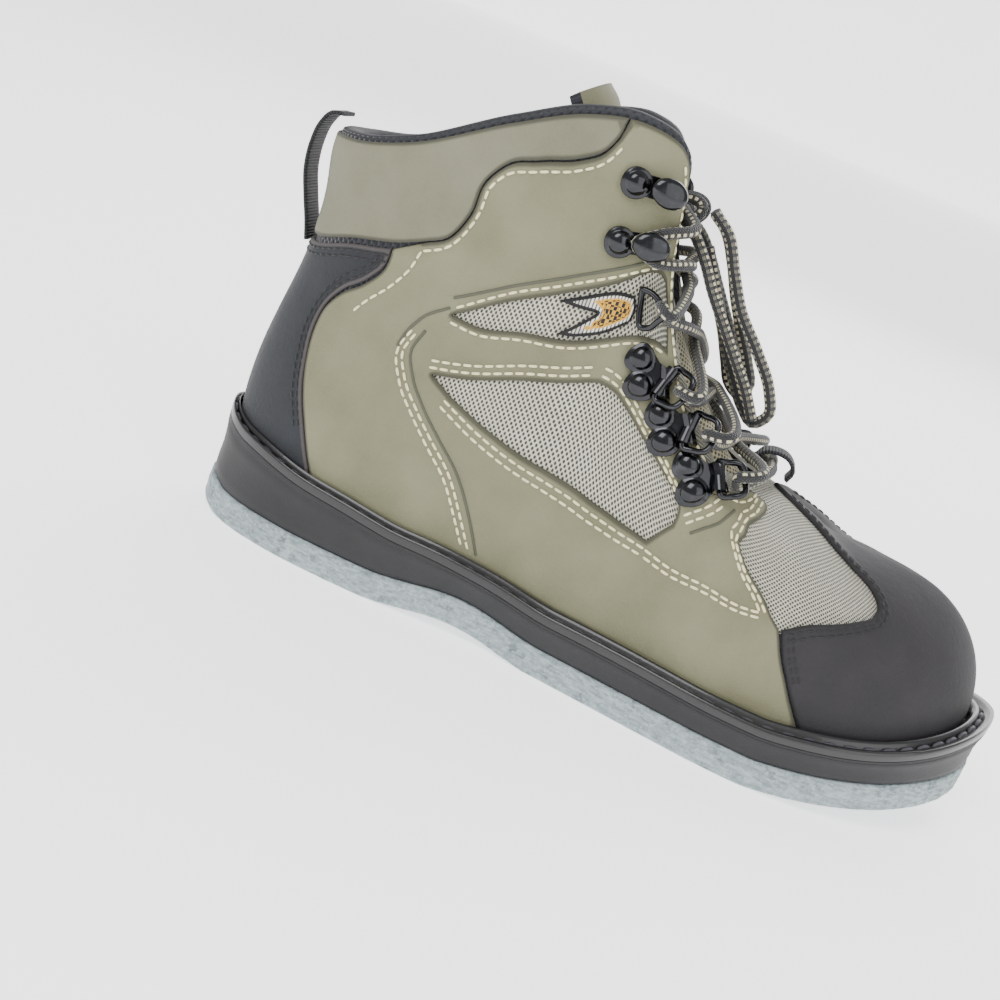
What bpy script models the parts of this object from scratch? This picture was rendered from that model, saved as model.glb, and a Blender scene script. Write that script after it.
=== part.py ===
"""Wading boot for a right foot, standing empty on its felt sole.

Axes: +X to the toe, +Y to the inner (medial) side, -Y to the outer (lateral) side, +Z up. The origin is the
middle of the heel's flat spot on the floor. Lengths are in metres.
"""

import math

import bmesh
import bpy
import numpy as np
from mathutils import Vector
from mathutils.geometry import delaunay_2d_cdt

MM = 0.001

# Driving sizes of the boot
LENGTH = 314 * MM  # outsole, heel to toe
BALL_WIDTH = 115 * MM  # outsole across the ball of the foot
COLLAR_HEIGHT = 199 * MM  # floor to the highest point of the collar
BACK_HEIGHT = 153.5 * MM  # floor to the collar at the back seam
INSTEP_HEIGHT = 94 * MM  # floor to the foot of the throat
TOE_HEIGHT = 83 * MM  # floor to the top of the toe box
THROAT_WIDTH = 42 * MM  # between the two eyelet edges
COLLAR_WIDTH = 76 * MM  # across the collar
INNER_SET_BACK = 5 * MM  # how far the inner eyelet edge sits behind the outer one
INNER_SET_IN = 3 * MM  # how far the inner eyelet edge sits nearer to the middle than the outer one
HEEL_REST = 45 * MM  # from the heel's rear edge to the origin

# Lacing
LACE = 4.2 * MM
WIRE = 2.3 * MM  # of the D-rings and the strap's ring
PLATE = 1.2 * MM
RIVET = 8.4 * MM
RIVET_PITCH = 9.5 * MM
BARREL = 10.6 * MM  # length of the rolled barrel that holds a D-ring
BARREL_REACH = 9.8 * MM  # from the rivets' line to the barrel
RING_REACH = 8.2 * MM  # from the barrel to the middle of the D-ring's bow
HOOK_REACH = 10.5 * MM  # from a hook's rivet to its head
HOOK_HEIGHT = 8.4 * MM
STRAP = 1.5 * MM  # thickness of the webbing
PULL_WIDTH = 16 * MM
TOE_LOOP_WIDTH = 11 * MM
CROSS_SEAT = 1.6 * MM  # room between the tongue and the crossing laces
EDGE_ROOM = 2.4 * MM  # room between the eyelet edge and the lace over it
BOW_ROOM = 0.5 * MM  # room between a ring's bow and the lace over or under it

# Sole
FELT = 10.5 * MM
MIDSOLE_HEEL = 18.5 * MM  # wall of the midsole under the heel, without the welt
MIDSOLE_BALL = 9.5 * MM
ARCH_LIFT = 4 * MM
TOE_SPRING = 15 * MM
HEEL_BEVEL = 4 * MM
FELT_PROUD = 0.6 * MM
WELT = 3.6 * MM
FOOTBED = 4 * MM

# Upper and its overlays
WALL = 2.4 * MM
COLLAR_PAD = 6 * MM
OVERLAY = 1.3 * MM
TONGUE_PAD = 8 * MM
GAP = 0.3 * MM
SEAT = 1.2 * MM  # room under an overlay, as both are faceted
TOE_SEAT = 2.4 * MM  # the same at the tip of the toe, which curves more
HARD_SEAT = 0.6 * MM  # room under the metal pieces
WELT_SEAT = 0.8 * MM  # room between the upper and the bead, as both are faceted

KNOT_DEPTH = 9 * MM  # half of the bow's knot, outwards from the tongue
KNOT_ACROSS = 8 * MM
KNOT_UP = 6.5 * MM
KNOT_ROOM = 0.6 * MM  # between the knot and the tongue

# Spacing of the corners along the edges of a panel, from fine to wide, and inside it
FINE_STEP = 7 * MM
SEAM_STEP = 8 * MM
LONG_STEP = 9 * MM
HEM_STEP = 10 * MM
CUFF_FILL = 11 * MM
PANEL_FILL = 12 * MM
TOE_FILL = 13 * MM
STRAP_STEP = 5 * MM
CAP_STEP = 6 * MM

# Sole outline: share of LENGTH from the heel, then shares of BALL_WIDTH out to each side, and the share by
# which the wall tucks in where it meets the felt
OUTLINE = (
    # along, lateral, medial, tuck
    (0.000, 0.000, 0.000, 0.004),
    (0.015, 0.130, 0.139, 0.004),
    (0.050, 0.222, 0.235, 0.004),
    (0.120, 0.309, 0.313, 0.006),
    (0.200, 0.345, 0.330, 0.008),
    (0.300, 0.370, 0.304, 0.015),
    (0.400, 0.378, 0.278, 0.017),
    (0.500, 0.409, 0.304, 0.012),
    (0.600, 0.452, 0.391, 0.008),
    (0.680, 0.487, 0.461, 0.006),
    (0.750, 0.500, 0.496, 0.006),
    (0.820, 0.483, 0.500, 0.006),
    (0.890, 0.409, 0.457, 0.006),
    (0.945, 0.287, 0.365, 0.006),
    (0.985, 0.122, 0.209, 0.006),
    (1.000, -0.035, 0.035, 0.006),
)

# Height of the welt's rim above the felt, as a share of the way from the ball's midsole to the heel's
RIM = (
    # along, share
    (0.00, 1.60),
    (0.06, 1.40),
    (0.13, 1.02),
    (0.20, 0.82),
    (0.29, 0.49),
    (0.36, 0.10),
    (0.44, 0.12),
    (0.55, 0.08),
    (0.68, -0.05),
    (0.78, 0.00),
    (0.88, 0.08),
    (0.94, 0.30),
    (1.00, 0.70),
)

# Where the felt lies flat on the floor, as shares of LENGTH
HEEL_FLAT = (0.045, 0.245)
BALL_FLAT = (0.475, 0.735)

# Ledge of the welt outside the upper, and the upper itself, at stations along each side of the boot.
# station: share of the side from the back seam to the toe; top_along: share of LENGTH; top_up: share of the
# height named in the next column; half: share of COLLAR_WIDTH or THROAT_WIDTH / 2; mid: shift of the middle
# line to the medial side, in shares of BALL_WIDTH; arch: 0 for a flat wall and 1 for a quarter arch; bellies
# and hollow: shares of BALL_WIDTH
STATIONS = (
    # station, top_along, top_up, height, half, mid, arch, belly_out, belly_in, hollow, ledge
    (0.000, 0.0125, 1.000, "back", 0.000, 0.000, 0.00, 0.013, 0.013, 0.045, 0.030),
    (0.055, 0.0285, 1.003, "back", 0.240, 0.000, 0.00, 0.018, 0.018, 0.045, 0.034),
    (0.110, 0.0700, 1.020, "back", 0.410, 0.000, 0.00, 0.022, 0.022, 0.044, 0.040),
    (0.170, 0.1300, 1.070, "back", 0.490, 0.000, 0.00, 0.026, 0.026, 0.042, 0.044),
    (0.255, 0.2230, 0.920, "collar", 0.505, 0.000, 0.00, 0.026, 0.040, 0.034, 0.048),
    (0.320, 0.2930, 0.980, "collar", 0.480, 0.000, 0.00, 0.030, 0.066, 0.026, 0.052),
    (0.375, 0.3570, 1.000, "collar", 0.425, 0.000, 0.10, 0.030, 0.066, 0.020, 0.056),
    (0.405, 0.3950, 0.988, "collar", 0.370, 0.004, 0.22, 0.028, 0.060, 0.016, 0.056),
    (0.430, 0.4160, 0.955, "collar", 0.325, 0.006, 0.34, 0.026, 0.052, 0.012, 0.058),
    (0.460, 0.4250, 0.884, "collar", 0.300, 0.008, 0.46, 0.024, 0.044, 0.008, 0.060),
    (0.500, 0.4400, 0.780, "collar", 0.300, 0.012, 0.58, 0.022, 0.034, 0.004, 0.060),
    (0.545, 0.4680, 0.672, "collar", 0.300, 0.016, 0.70, 0.020, 0.026, 0.000, 0.062),
    (0.590, 0.5100, 0.570, "collar", 0.300, 0.022, 0.82, 0.018, 0.022, 0.000, 0.064),
    (0.630, 0.5580, 0.494, "collar", 0.275, 0.026, 0.92, 0.016, 0.018, 0.000, 0.066),
    (0.660, 0.6000, 1.000, "instep", 0.195, 0.030, 1.00, 0.016, 0.016, 0.000, 0.070),
    (0.690, 0.6400, 0.995, "instep", 0.000, 0.033, 1.00, 0.014, 0.014, 0.000, 0.072),
    (0.730, 0.6820, 0.955, "instep", 0.000, 0.038, 1.00, 0.012, 0.012, 0.000, 0.076),
    (0.790, 0.7260, 1.022, "toe", 0.000, 0.042, 1.00, 0.010, 0.010, 0.000, 0.080),
    (0.860, 0.7680, 1.006, "toe", 0.000, 0.042, 1.00, 0.008, 0.008, 0.000, 0.084),
    (0.930, 0.8040, 1.000, "toe", 0.000, 0.040, 1.00, 0.006, 0.006, 0.000, 0.084),
    (1.000, 0.8300, 0.992, "toe", 0.000, 0.038, 1.00, 0.004, 0.004, 0.000, 0.082),
)
for leftover in list(bpy.data.objects):
    bpy.data.objects.remove(leftover)

HEIGHTS = {"back": BACK_HEIGHT, "collar": COLLAR_HEIGHT, "instep": INSTEP_HEIGHT, "toe": TOE_HEIGHT}
SIDES = {"lateral": -1, "medial": 1}
SIDE_SAMPLES = 241
BEAD_LEVEL = 0.05  # level up to which the welt's bead hugs the upper
THROAT_TOP = 0.43  # station where the eyelet edge meets the collar
THROAT_SPREAD = 0.06
EYELETS_MIDDLE = 0.50  # station halfway down the eyelet edge
EYELETS_SPREAD = 0.10
EDGE_THIN = 0.45
VAMP_START = 0.685  # station from which both sides meet over the foot


def through(knots, values, flat=False):
    """A smooth curve through values that were set by hand at rising knots, as a function."""
    knots, values = np.array(knots, float), np.array(values, float)
    step = np.diff(knots)
    slope = np.diff(values) / step
    tangent = np.empty_like(values)
    tangent[1:-1] = (slope[:-1] * step[1:] + slope[1:] * step[:-1]) / (step[:-1] + step[1:])
    tangent[0], tangent[-1] = (0, 0) if flat else (slope[0], slope[-1])

    def at(x):
        x = np.clip(x, knots[0], knots[-1])
        k = np.clip(np.searchsorted(knots, x, side="right") - 1, 0, len(step) - 1)
        h, u = step[k], (x - knots[k]) / step[k]
        start = values[k] * (1 + 2 * u) * (1 - u) ** 2 + tangent[k] * h * u * (1 - u) ** 2
        return start + values[k + 1] * u * u * (3 - 2 * u) + tangent[k + 1] * h * u * u * (u - 1)

    return at


def outline_sides():
    """The sole's rim seen from above, as points along each side from the heel to the toe, with the tuck."""
    rows = [(a * LENGTH, -lat * BALL_WIDTH, tuck * LENGTH) for a, lat, med, tuck in OUTLINE]
    rows += [(a * LENGTH, med * BALL_WIDTH, tuck * LENGTH) for a, lat, med, tuck in OUTLINE[-2:0:-1]]
    loop = np.array(rows)
    count = len(loop)
    wrapped = np.array([loop[k % count] for k in range(-2, count + 3)])
    run = np.r_[0, np.cumsum(np.hypot(*np.diff(wrapped[:, :2], axis=0).T))]
    smooth = [through(run, wrapped[:, c]) for c in range(3)]
    tip = len(OUTLINE) - 1
    sides = {}
    for side, first, last in (("lateral", 2, 2 + tip), ("medial", 2 + count, 2 + tip)):
        at = np.linspace(run[first], run[last], 4 * SIDE_SAMPLES)
        dense = np.stack([f(at) for f in smooth], axis=1)
        walked = np.r_[0, np.cumsum(np.hypot(*np.diff(dense[:, :2], axis=0).T))]
        share = np.linspace(0, walked[-1], SIDE_SAMPLES)
        sides[side] = np.stack([np.interp(share, walked, dense[:, c]) for c in range(3)], axis=1)
    return sides


RIM_SIDES = outline_sides()


def rim_point(side, station, inset=0.0):
    """Points of the rim moved inwards by inset, at stations from 0 at the heel to 1 at the toe."""
    station = np.asarray(station, float)
    line = RIM_SIDES[side]
    share = np.linspace(0, 1, SIDE_SAMPLES)
    point = np.stack([np.interp(station, share, line[:, c]) for c in range(2)], axis=-1)
    along = np.gradient(line[:, :2], axis=0)
    mirrored = along[[0, -1]] * (0, 1)
    along[[0, -1]] = mirrored
    along = np.stack([np.interp(station, share, along[:, c]) for c in range(2)], axis=-1)
    along /= np.linalg.norm(along, axis=-1, keepdims=True)
    outward = np.stack([along[..., 1], -along[..., 0]], axis=-1) * -SIDES[side]
    return point - outward * np.asarray(inset)[..., None], outward


def tuck_at(side, station):
    return np.interp(station, np.linspace(0, 1, SIDE_SAMPLES), RIM_SIDES[side][:, 2])


RIM_SHARE = through([row[0] for row in RIM], [row[1] for row in RIM])


def floor_gap(x):
    """How far the felt's underside is off the floor, x metres from the heel's rear edge."""
    along = np.asarray(x, float) / LENGTH
    rear = np.clip(1 - along / HEEL_FLAT[0], 0, 1)
    arch = np.clip((along - HEEL_FLAT[1]) / (BALL_FLAT[0] - HEEL_FLAT[1]), 0, 1)
    toe = np.clip((along - BALL_FLAT[1]) / (1 - BALL_FLAT[1]), 0, 1)
    return HEEL_BEVEL * rear**1.5 + ARCH_LIFT * np.sin(math.pi * arch) ** 2 + TOE_SPRING * toe**1.25


def platform(x):
    """Height of the midsole's top, which carries the welt, the upper and the insole."""
    thick = MIDSOLE_BALL + RIM_SHARE(np.asarray(x) / LENGTH) * (MIDSOLE_HEEL - MIDSOLE_BALL)
    return floor_gap(x) + FELT + GAP + thick


STATION = np.array([row[0] for row in STATIONS])
COLUMNS = {
    "top_along": through(STATION, [row[1] * LENGTH for row in STATIONS], flat=True),
    "top_up": through(STATION, [row[2] * HEIGHTS[row[3]] for row in STATIONS], flat=True),
    "half": through(STATION, [row[4] for row in STATIONS]),
    "mid": through(STATION, [row[5] * BALL_WIDTH for row in STATIONS], flat=True),
    "arch": through(STATION, [row[6] for row in STATIONS], flat=True),
    "belly_lateral": through(STATION, [row[7] * BALL_WIDTH for row in STATIONS], flat=True),
    "belly_medial": through(STATION, [row[8] * BALL_WIDTH for row in STATIONS], flat=True),
    "hollow": through(STATION, [row[9] * BALL_WIDTH for row in STATIONS], flat=True),
    "ledge": through(STATION, [row[10] * BALL_WIDTH for row in STATIONS], flat=True),
}


def last_point(side, station, level):
    """The upper's outer surface before any lift: station 0 heel to 1 toe, level 0 sole to 1 top edge."""
    col = {name: f(station) for name, f in COLUMNS.items()}
    foot, outward = rim_point(side, station, col["ledge"])
    foot_up = platform(foot[..., 0]) + GAP
    sign = SIDES[side]
    half = np.maximum(col["half"], 0) * COLLAR_WIDTH
    turn = level * math.pi / 2
    keep = (1 - col["arch"]) * (1 - level) + col["arch"] * np.cos(turn)
    rise = (1 - col["arch"]) * level + col["arch"] * np.sin(turn)
    free = np.clip((level - BEAD_LEVEL) / (1 - BEAD_LEVEL), 0, 1)
    belly = col["belly_" + side] * np.sin(math.pi * free**0.65)
    hollow = col["hollow"] * np.sin(math.pi * level**1.45) ** 2
    x = col["top_along"] + (foot[..., 0] - col["top_along"]) * keep + outward[..., 0] * (belly - hollow)
    top_y = col["mid"] + sign * half
    if side == "medial":
        back = INNER_SET_BACK * np.exp(-(((station - THROAT_TOP) / THROAT_SPREAD) ** 2))
        x = x - back * (1 - keep)
        top_y = top_y - INNER_SET_IN * np.exp(-(((station - EYELETS_MIDDLE) / EYELETS_SPREAD) ** 2))
    y = top_y + (foot[..., 1] - top_y) * keep + outward[..., 1] * (belly - hollow)
    z = foot_up + (col["top_up"] - foot_up) * rise
    return np.stack([x, y, z], axis=-1)


def surface(side, station, level, lift=0.0):
    """A point of the upper's outer surface, lifted outwards by lift."""
    station, level = np.broadcast_arrays(np.asarray(station, float), np.asarray(level, float))
    here = last_point(side, station, level)
    step = 0.004
    ahead, behind = np.clip(station + step, 0, 1), np.clip(station - step, 0, 1)
    above, below = np.clip(level + step, 0, 1), np.clip(level - step, 0, 1)
    forward = last_point(side, ahead, level) - last_point(side, behind, level)
    upward = last_point(side, station, above) - last_point(side, station, below)
    normal = np.cross(upward, forward) * SIDES[side]
    normal /= np.linalg.norm(normal, axis=-1, keepdims=True)
    return here + normal * np.asarray(lift)[..., None]


def material(name, colour, roughness, metallic=0.0):
    """A plain Principled material in an sRGB hex colour."""
    made = bpy.data.materials.new(name)
    made.use_nodes = True
    shader = made.node_tree.nodes["Principled BSDF"]
    channels = [int(colour[k : k + 2], 16) / 255 for k in (0, 2, 4)]
    linear = [c / 12.92 if c <= 0.04045 else ((c + 0.055) / 1.055) ** 2.4 for c in channels]
    shader.inputs["Base Color"].default_value = (*linear, 1)
    shader.inputs["Roughness"].default_value = roughness
    shader.inputs["Metallic"].default_value = metallic
    return made


MATERIALS = {
    "felt": material("felt", "A9B4B6", 0.95),
    "midsole": material("moulded rubber", "43454D", 0.6),
    "welt": material("welt rubber", "35343B", 0.45),
    "footbed": material("footbed foam", "2E3036", 0.9),
    "mesh": material("knitted mesh", "C9C8B4", 0.85),
    "nubuck": material("olive nubuck", "9A9B84", 0.75),
    "toe": material("charcoal nubuck", "504D54", 0.7),
    "heel": material("navy nubuck", "3E4550", 0.7),
    "lining": material("knitted lining", "24262E", 0.9),
    "webbing": material("woven webbing", "E2B84A", 0.8),
    "black_webbing": material("black webbing", "26272B", 0.8),
    "metal": material("black painted metal", "2A2C34", 0.35, 0.8),
    "lace": material("braided lace", "3A3A38", 0.8),
}


def add_solid(name, points, faces, finish):
    """One closed solid, from points in metres measured from the heel's rear edge, set on the origin."""
    mesh = bpy.data.meshes.new(name)
    moved = np.asarray(points, float) - (HEEL_REST, 0, 0)
    mesh.from_pydata([tuple(p) for p in moved], [], [tuple(int(i) for i in f) for f in faces])
    work = bmesh.new()
    work.from_mesh(mesh)
    bmesh.ops.remove_doubles(work, verts=work.verts, dist=0.05 * MM)
    bmesh.ops.triangulate(work, faces=work.faces)
    bmesh.ops.recalc_face_normals(work, faces=work.faces)
    work.to_mesh(mesh)
    work.free()
    mesh.shade_smooth()
    mesh.set_sharp_from_angle(angle=math.radians(35))
    mesh.materials.append(MATERIALS[finish])
    made = bpy.data.objects.new(name, mesh)
    bpy.context.scene.collection.objects.link(made)
    return made


def thicken(outer, inner, faces):
    """A closed solid between two sheets that share their faces: points and faces."""
    count = len(outer)
    points = np.vstack([outer, inner])
    solid = [tuple(f) for f in faces] + [tuple(count + i for i in reversed(f)) for f in faces]
    edges = {}
    for f in faces:
        for a, b in zip(f, (*f[1:], f[0])):
            edges[(a, b)] = edges.get((a, b), 0) + 1
    for a, b in edges:
        if (b, a) not in edges:
            solid.append((b, a, count + a, count + b))
    return points, solid


# Sole


def rim_loop(inset, count):
    """The rim moved inwards, as one loop round the boot, with what each point needs to find its pair."""
    shares = 0.5 - 0.5 * np.cos(np.linspace(0, math.pi, count))
    shares = 0.35 * shares + 0.65 * np.linspace(0, 1, count)
    out = rim_point("lateral", shares, inset("lateral", shares))[0]
    back = rim_point("medial", shares, inset("medial", shares))[0]
    return np.vstack([out, back[-2:0:-1]]), count


def slab(name, rings, count, finish):
    """A solid whose wall runs through rings of points, closed below and above by strips across the sole."""
    total = len(rings[0])
    points = np.vstack(rings)
    faces = []
    for r in range(len(rings) - 1):
        for k in range(total):
            n = (k + 1) % total
            faces.append((r * total + k, r * total + n, (r + 1) * total + n, (r + 1) * total + k))
    for base in (0, (len(rings) - 1) * total):
        for k in range(count - 1):
            near = (base + k, base + k + 1)
            far = (base + (total - k - 1) % total, base + (total - k) % total)
            strip = [near[0], near[1], far[0], far[1]]
            faces.append(tuple(dict.fromkeys(strip)))
    return add_solid(name, points, faces, finish)


SOLE_STEPS = 31


def sole_ring(inset, height):
    loop, _ = rim_loop(inset, SOLE_STEPS)
    return np.column_stack([loop, height(loop[:, 0])])


def tucked(extra):
    return lambda side, station: tuck_at(side, station) + extra


def make_sole():
    edge = 0.8 * MM
    felt_top = lambda x: floor_gap(x) + FELT
    half_tucked = lambda side, station: 0.35 * tuck_at(side, station)
    rings = [
        sole_ring(tucked(edge - FELT_PROUD), floor_gap),
        sole_ring(tucked(-FELT_PROUD), lambda x: floor_gap(x) + edge),
        sole_ring(tucked(-FELT_PROUD), felt_top),
    ]
    slab("felt_outsole", rings, SOLE_STEPS, "felt")
    rings = [
        sole_ring(tucked(0), lambda x: felt_top(x) + GAP),
        sole_ring(half_tucked, lambda x: 0.5 * (felt_top(x) + platform(x))),
        sole_ring(lambda side, station: 0 * station, platform),
    ]
    slab("midsole", rings, SOLE_STEPS, "midsole")


# Cross-section of the welt: shares of the ledge from the upper to the rim, and of WELT above the platform
WELT_SECTION = (
    (0.00, 0.00),
    (0.06, 1.34),
    (0.36, 1.34),
    (0.48, 0.50),
    (0.72, 1.00),
    (1.00, 1.00),
    (1.00, 0.00),
)


def make_welt():
    loops = []
    for out, up in WELT_SECTION:
        ledge = lambda side, station: (COLUMNS["ledge"](station) - WELT_SEAT) * (1 - out)
        loop, _ = rim_loop(ledge, SOLE_STEPS)
        loops.append(np.column_stack([loop, platform(loop[:, 0]) + GAP + up * WELT]))
    total, rows = len(loops[0]), len(loops)
    faces = []
    for r in range(rows):
        for k in range(total):
            n, s = (k + 1) % total, (r + 1) % rows
            faces.append((r * total + k, r * total + n, s * total + n, s * total + k))
    add_solid("welt", np.vstack(loops), faces, "welt")


def make_insole():
    inside = lambda side, station: COLUMNS["ledge"](station) + shell_depth(station) + WALL + 3 * GAP
    rings = [
        sole_ring(inside, lambda x: platform(x) + GAP),
        sole_ring(inside, lambda x: platform(x) + FOOTBED),
    ]
    slab("insole", rings, SOLE_STEPS, "footbed")


# Upper

UPPER_STATIONS = np.r_[
    np.linspace(0, 0.15, 6),
    np.linspace(0.195, 0.375, 5),
    np.linspace(0.395, 0.47, 5),
    np.linspace(0.495, 0.63, 6),
    np.linspace(0.652, 0.70, 3),
    np.linspace(0.735, 0.935, 6),
    (0.975, 1),
]
UPPER_LEVELS = np.r_[0, 0.08, 0.21, 0.37, 0.53, 0.67, 0.80, 0.91, 1]


def shell_depth(station):
    """How deep the upper lies under the outer surface of its overlays."""
    return OVERLAY + SEAT + (TOE_SEAT - SEAT) * np.clip((np.asarray(station) - 0.66) / 0.34, 0, 1)


def edge_thin(station, level):
    """Share of their thickness that the leather and the room under it keep along the rolled eyelet edge."""
    along = np.clip((station - 0.40) / 0.05, 0, 1) * np.clip((0.66 - station) / 0.04, 0, 1)
    return 1 - EDGE_THIN * along * np.clip((level - 0.55) / 0.15, 0, 1)


def wall_at(station, level):
    """Thickness of the upper: its wall, and the padding at the collar."""
    collar = np.clip((0.47 - station) / 0.05, 0, 1) * np.clip((level - 0.68) / 0.14, 0, 1)
    return WALL * edge_thin(station, level) + (COLLAR_PAD - WALL) * collar * collar * (3 - 2 * collar)


def join_halves(name, flat, faces, lifts, finish):
    """One solid from flat corners laid on both sides of the boot and sewn along the middle line: at the heel,
    at the toe and along the vamp. Where the last two meet, the corner is cut off, as both halves share it."""
    station, level = flat.T
    vamp = (level > 0.9999) & (station > VAMP_START)
    toe = station > 0.9999
    sewn = (station < 0.0001) | toe | vamp
    tip = np.flatnonzero(vamp & toe)[0]
    near_tip = max(np.flatnonzero(vamp & ~toe), key=lambda i: station[i])
    faces = [tuple(dict.fromkeys(near_tip if i == tip else i for i in f)) for f in faces]
    faces = [f for f in faces if len(f) > 2 and not sewn[list(f)].all()]
    count = len(flat)
    both = faces + [tuple(i if sewn[i] else count + i for i in reversed(f)) for f in faces]
    sheets = []
    for lift in lifts:
        out, back = (surface(side, station, level, lift(station, level)) for side in SIDES)
        out[sewn] = (out[sewn] + back[sewn]) / 2
        sheet = np.vstack([out, back])
        floor = platform(sheet[:, 0]) + GAP
        foot = np.tile(level < 0.0001, 2)
        sheet[foot, 2] = floor[foot]
        sheets.append(sheet)
    points, solid = thicken(*sheets, both)
    used = sorted({i for f in solid for i in f})
    place = {i: k for k, i in enumerate(used)}
    add_solid(name, points[used], [tuple(place[i] for i in f) for f in solid], finish)


def make_upper():
    rows = len(UPPER_LEVELS)
    flat = np.array([(station, level) for station in UPPER_STATIONS for level in UPPER_LEVELS])
    starts = [c * rows + r for c in range(len(UPPER_STATIONS) - 1) for r in range(rows - 1)]
    faces = [(a, a + rows, a + rows + 1, a + 1) for a in starts]
    outside = lambda station, level: -shell_depth(station) * edge_thin(station, level)
    within = lambda station, level: outside(station, level) - wall_at(station, level)
    join_halves("upper", flat, faces, (outside, within), "mesh")


# Overlays cut from the upper's own surface


SIDE_REACH = 0.365  # rough length of one side, only for spacing points on the surface
WALL_REACH = 0.115


def run_line(rows, spacing):
    """A smooth line through rows of station and level, as evenly spaced rows."""
    rows = np.array(rows, float)
    if len(rows) == 2:
        run = np.array([0, 1.0])
    else:
        run = np.r_[0, np.cumsum(np.hypot(*(np.diff(rows, axis=0) * (SIDE_REACH, WALL_REACH)).T))]
    length = np.hypot(*(np.diff(rows, axis=0) * (SIDE_REACH, WALL_REACH)).T).sum()
    share = np.linspace(0, run[-1], max(2, int(round(length / spacing)) + 1))
    return np.stack([through(run, rows[:, c])(share) for c in range(2)], axis=1)


def closed_line(edges, spacing):
    """One closed outline from edges that meet at corners."""
    return np.vstack([run_line(edge, spacing)[:-1] for edge in edges])


def inside(points, outline):
    """Which points lie inside a closed outline."""
    hit = np.zeros(len(points), bool)
    for (x0, y0), (x1, y1) in zip(outline, np.roll(outline, -1, axis=0)):
        crosses = (y0 > points[:, 1]) != (y1 > points[:, 1])
        where = x0 + (points[:, 1] - y0) * (x1 - x0) / (y1 - y0 if y1 != y0 else 1)
        hit ^= crosses & (points[:, 0] < where)
    return hit


def fill(outline, holes, spacing):
    """Triangles over an outline with holes, as flat points and faces."""
    scale = np.array([SIDE_REACH, WALL_REACH])
    low, high = outline.min(axis=0), outline.max(axis=0)
    across = [np.arange(low[c], high[c], spacing / scale[c]) for c in range(2)]
    grid = np.stack(np.meshgrid(*across), axis=-1).reshape(-1, 2)
    loops = [outline, *holes]
    keep = inside(grid, outline)
    for hole in holes:
        keep &= ~inside(grid, hole)
    for loop in loops:
        near = np.full(len(grid), np.inf)
        for p in loop:
            near = np.minimum(near, np.hypot(*((grid - p) * scale).T))
        keep &= near > 0.6 * spacing
    points = [*np.vstack(loops), *grid[keep]]
    edges, start = [], 0
    for loop in loops:
        edges += [(start + k, start + (k + 1) % len(loop)) for k in range(len(loop))]
        start += len(loop)
    flat = [Vector(p * scale) for p in points]
    made = delaunay_2d_cdt(flat, edges, [], 0, 1e-7)
    corners = np.array([tuple(v) for v in made[0]]) / scale
    middles = np.array([corners[list(f)].mean(axis=0) for f in made[2]])
    keep = inside(middles, outline)
    for hole in holes:
        keep &= ~inside(middles, hole)
    return corners, [tuple(f) for f, k in zip(made[2], keep) if k]


def on_wall(corners, lift, side=None):
    """Surface points for flat corners: with no side, a negative station is on the medial side."""
    station, level = corners[:, 0], corners[:, 1]
    lift = np.broadcast_to(lift, station.shape)
    if side:
        return surface(side, station, level, lift)
    lateral = surface("lateral", np.abs(station), level, lift)
    medial = surface("medial", np.abs(station), level, lift)
    return np.where((station < 0)[:, None], medial, lateral)


def overlay(name, outline, holes, spacing, finish, side=None):
    """A panel of leather whose outer face is the boot's own surface."""
    corners, faces = fill(outline, holes, spacing)
    depth = OVERLAY * edge_thin(np.abs(corners[:, 0]), corners[:, 1])
    points, solid = thicken(on_wall(corners, 0.0, side), on_wall(corners, -depth, side), faces)
    return add_solid(name, points, solid, finish)


def mirrored(edge):
    """The same edge on the medial side, run the other way."""
    return [(-station, level) for station, level in edge[::-1]]


# Edges of the overlays, as rows of station and level on the upper
COUNTER_FRONT = (
    (0.168, 0.016),
    (0.145, 0.150),
    (0.129, 0.248),
    (0.121, 0.328),
    (0.115, 0.426),
    (0.118, 0.499),
    (0.133, 0.559),
    (0.157, 0.604),
    (0.172, 0.650),
    (0.174, 0.694),
)
COUNTER_TOP = (
    (0.174, 0.694),
    (0.127, 0.690),
    (0.063, 0.652),
    (0.000, 0.640),
    (-0.063, 0.652),
    (-0.127, 0.690),
    (-0.174, 0.694),
)
CUFF_SEAM = (
    (0.186, 0.712),
    (0.205, 0.714),
    (0.228, 0.724),
    (0.241, 0.780),
    (0.244, 0.850),
    (0.259, 0.888),
    (0.290, 0.890),
    (0.326, 0.892),
    (0.346, 0.912),
    (0.354, 0.945),
    (0.356, 0.985),
)
CUFF_FOOT = (
    (-0.186, 0.712),
    (-0.127, 0.708),
    (-0.063, 0.672),
    (0.000, 0.660),
    (0.063, 0.672),
    (0.127, 0.708),
    (0.186, 0.712),
)
TOE_CAP_BACK = ((0.724, 0.016), (0.695, 0.160), (0.682, 0.236), (0.675, 0.318))
TOE_CAP_TOP = (
    (0.675, 0.318),
    (0.703, 0.373),
    (0.735, 0.426),
    (0.764, 0.479),
    (0.788, 0.530),
    (0.800, 0.596),
    (0.796, 0.667),
    (0.776, 0.727),
    (0.750, 0.800),
    (0.722, 0.870),
    (0.700, 0.930),
)
OVERLAY_FOOT = 0.016

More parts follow.
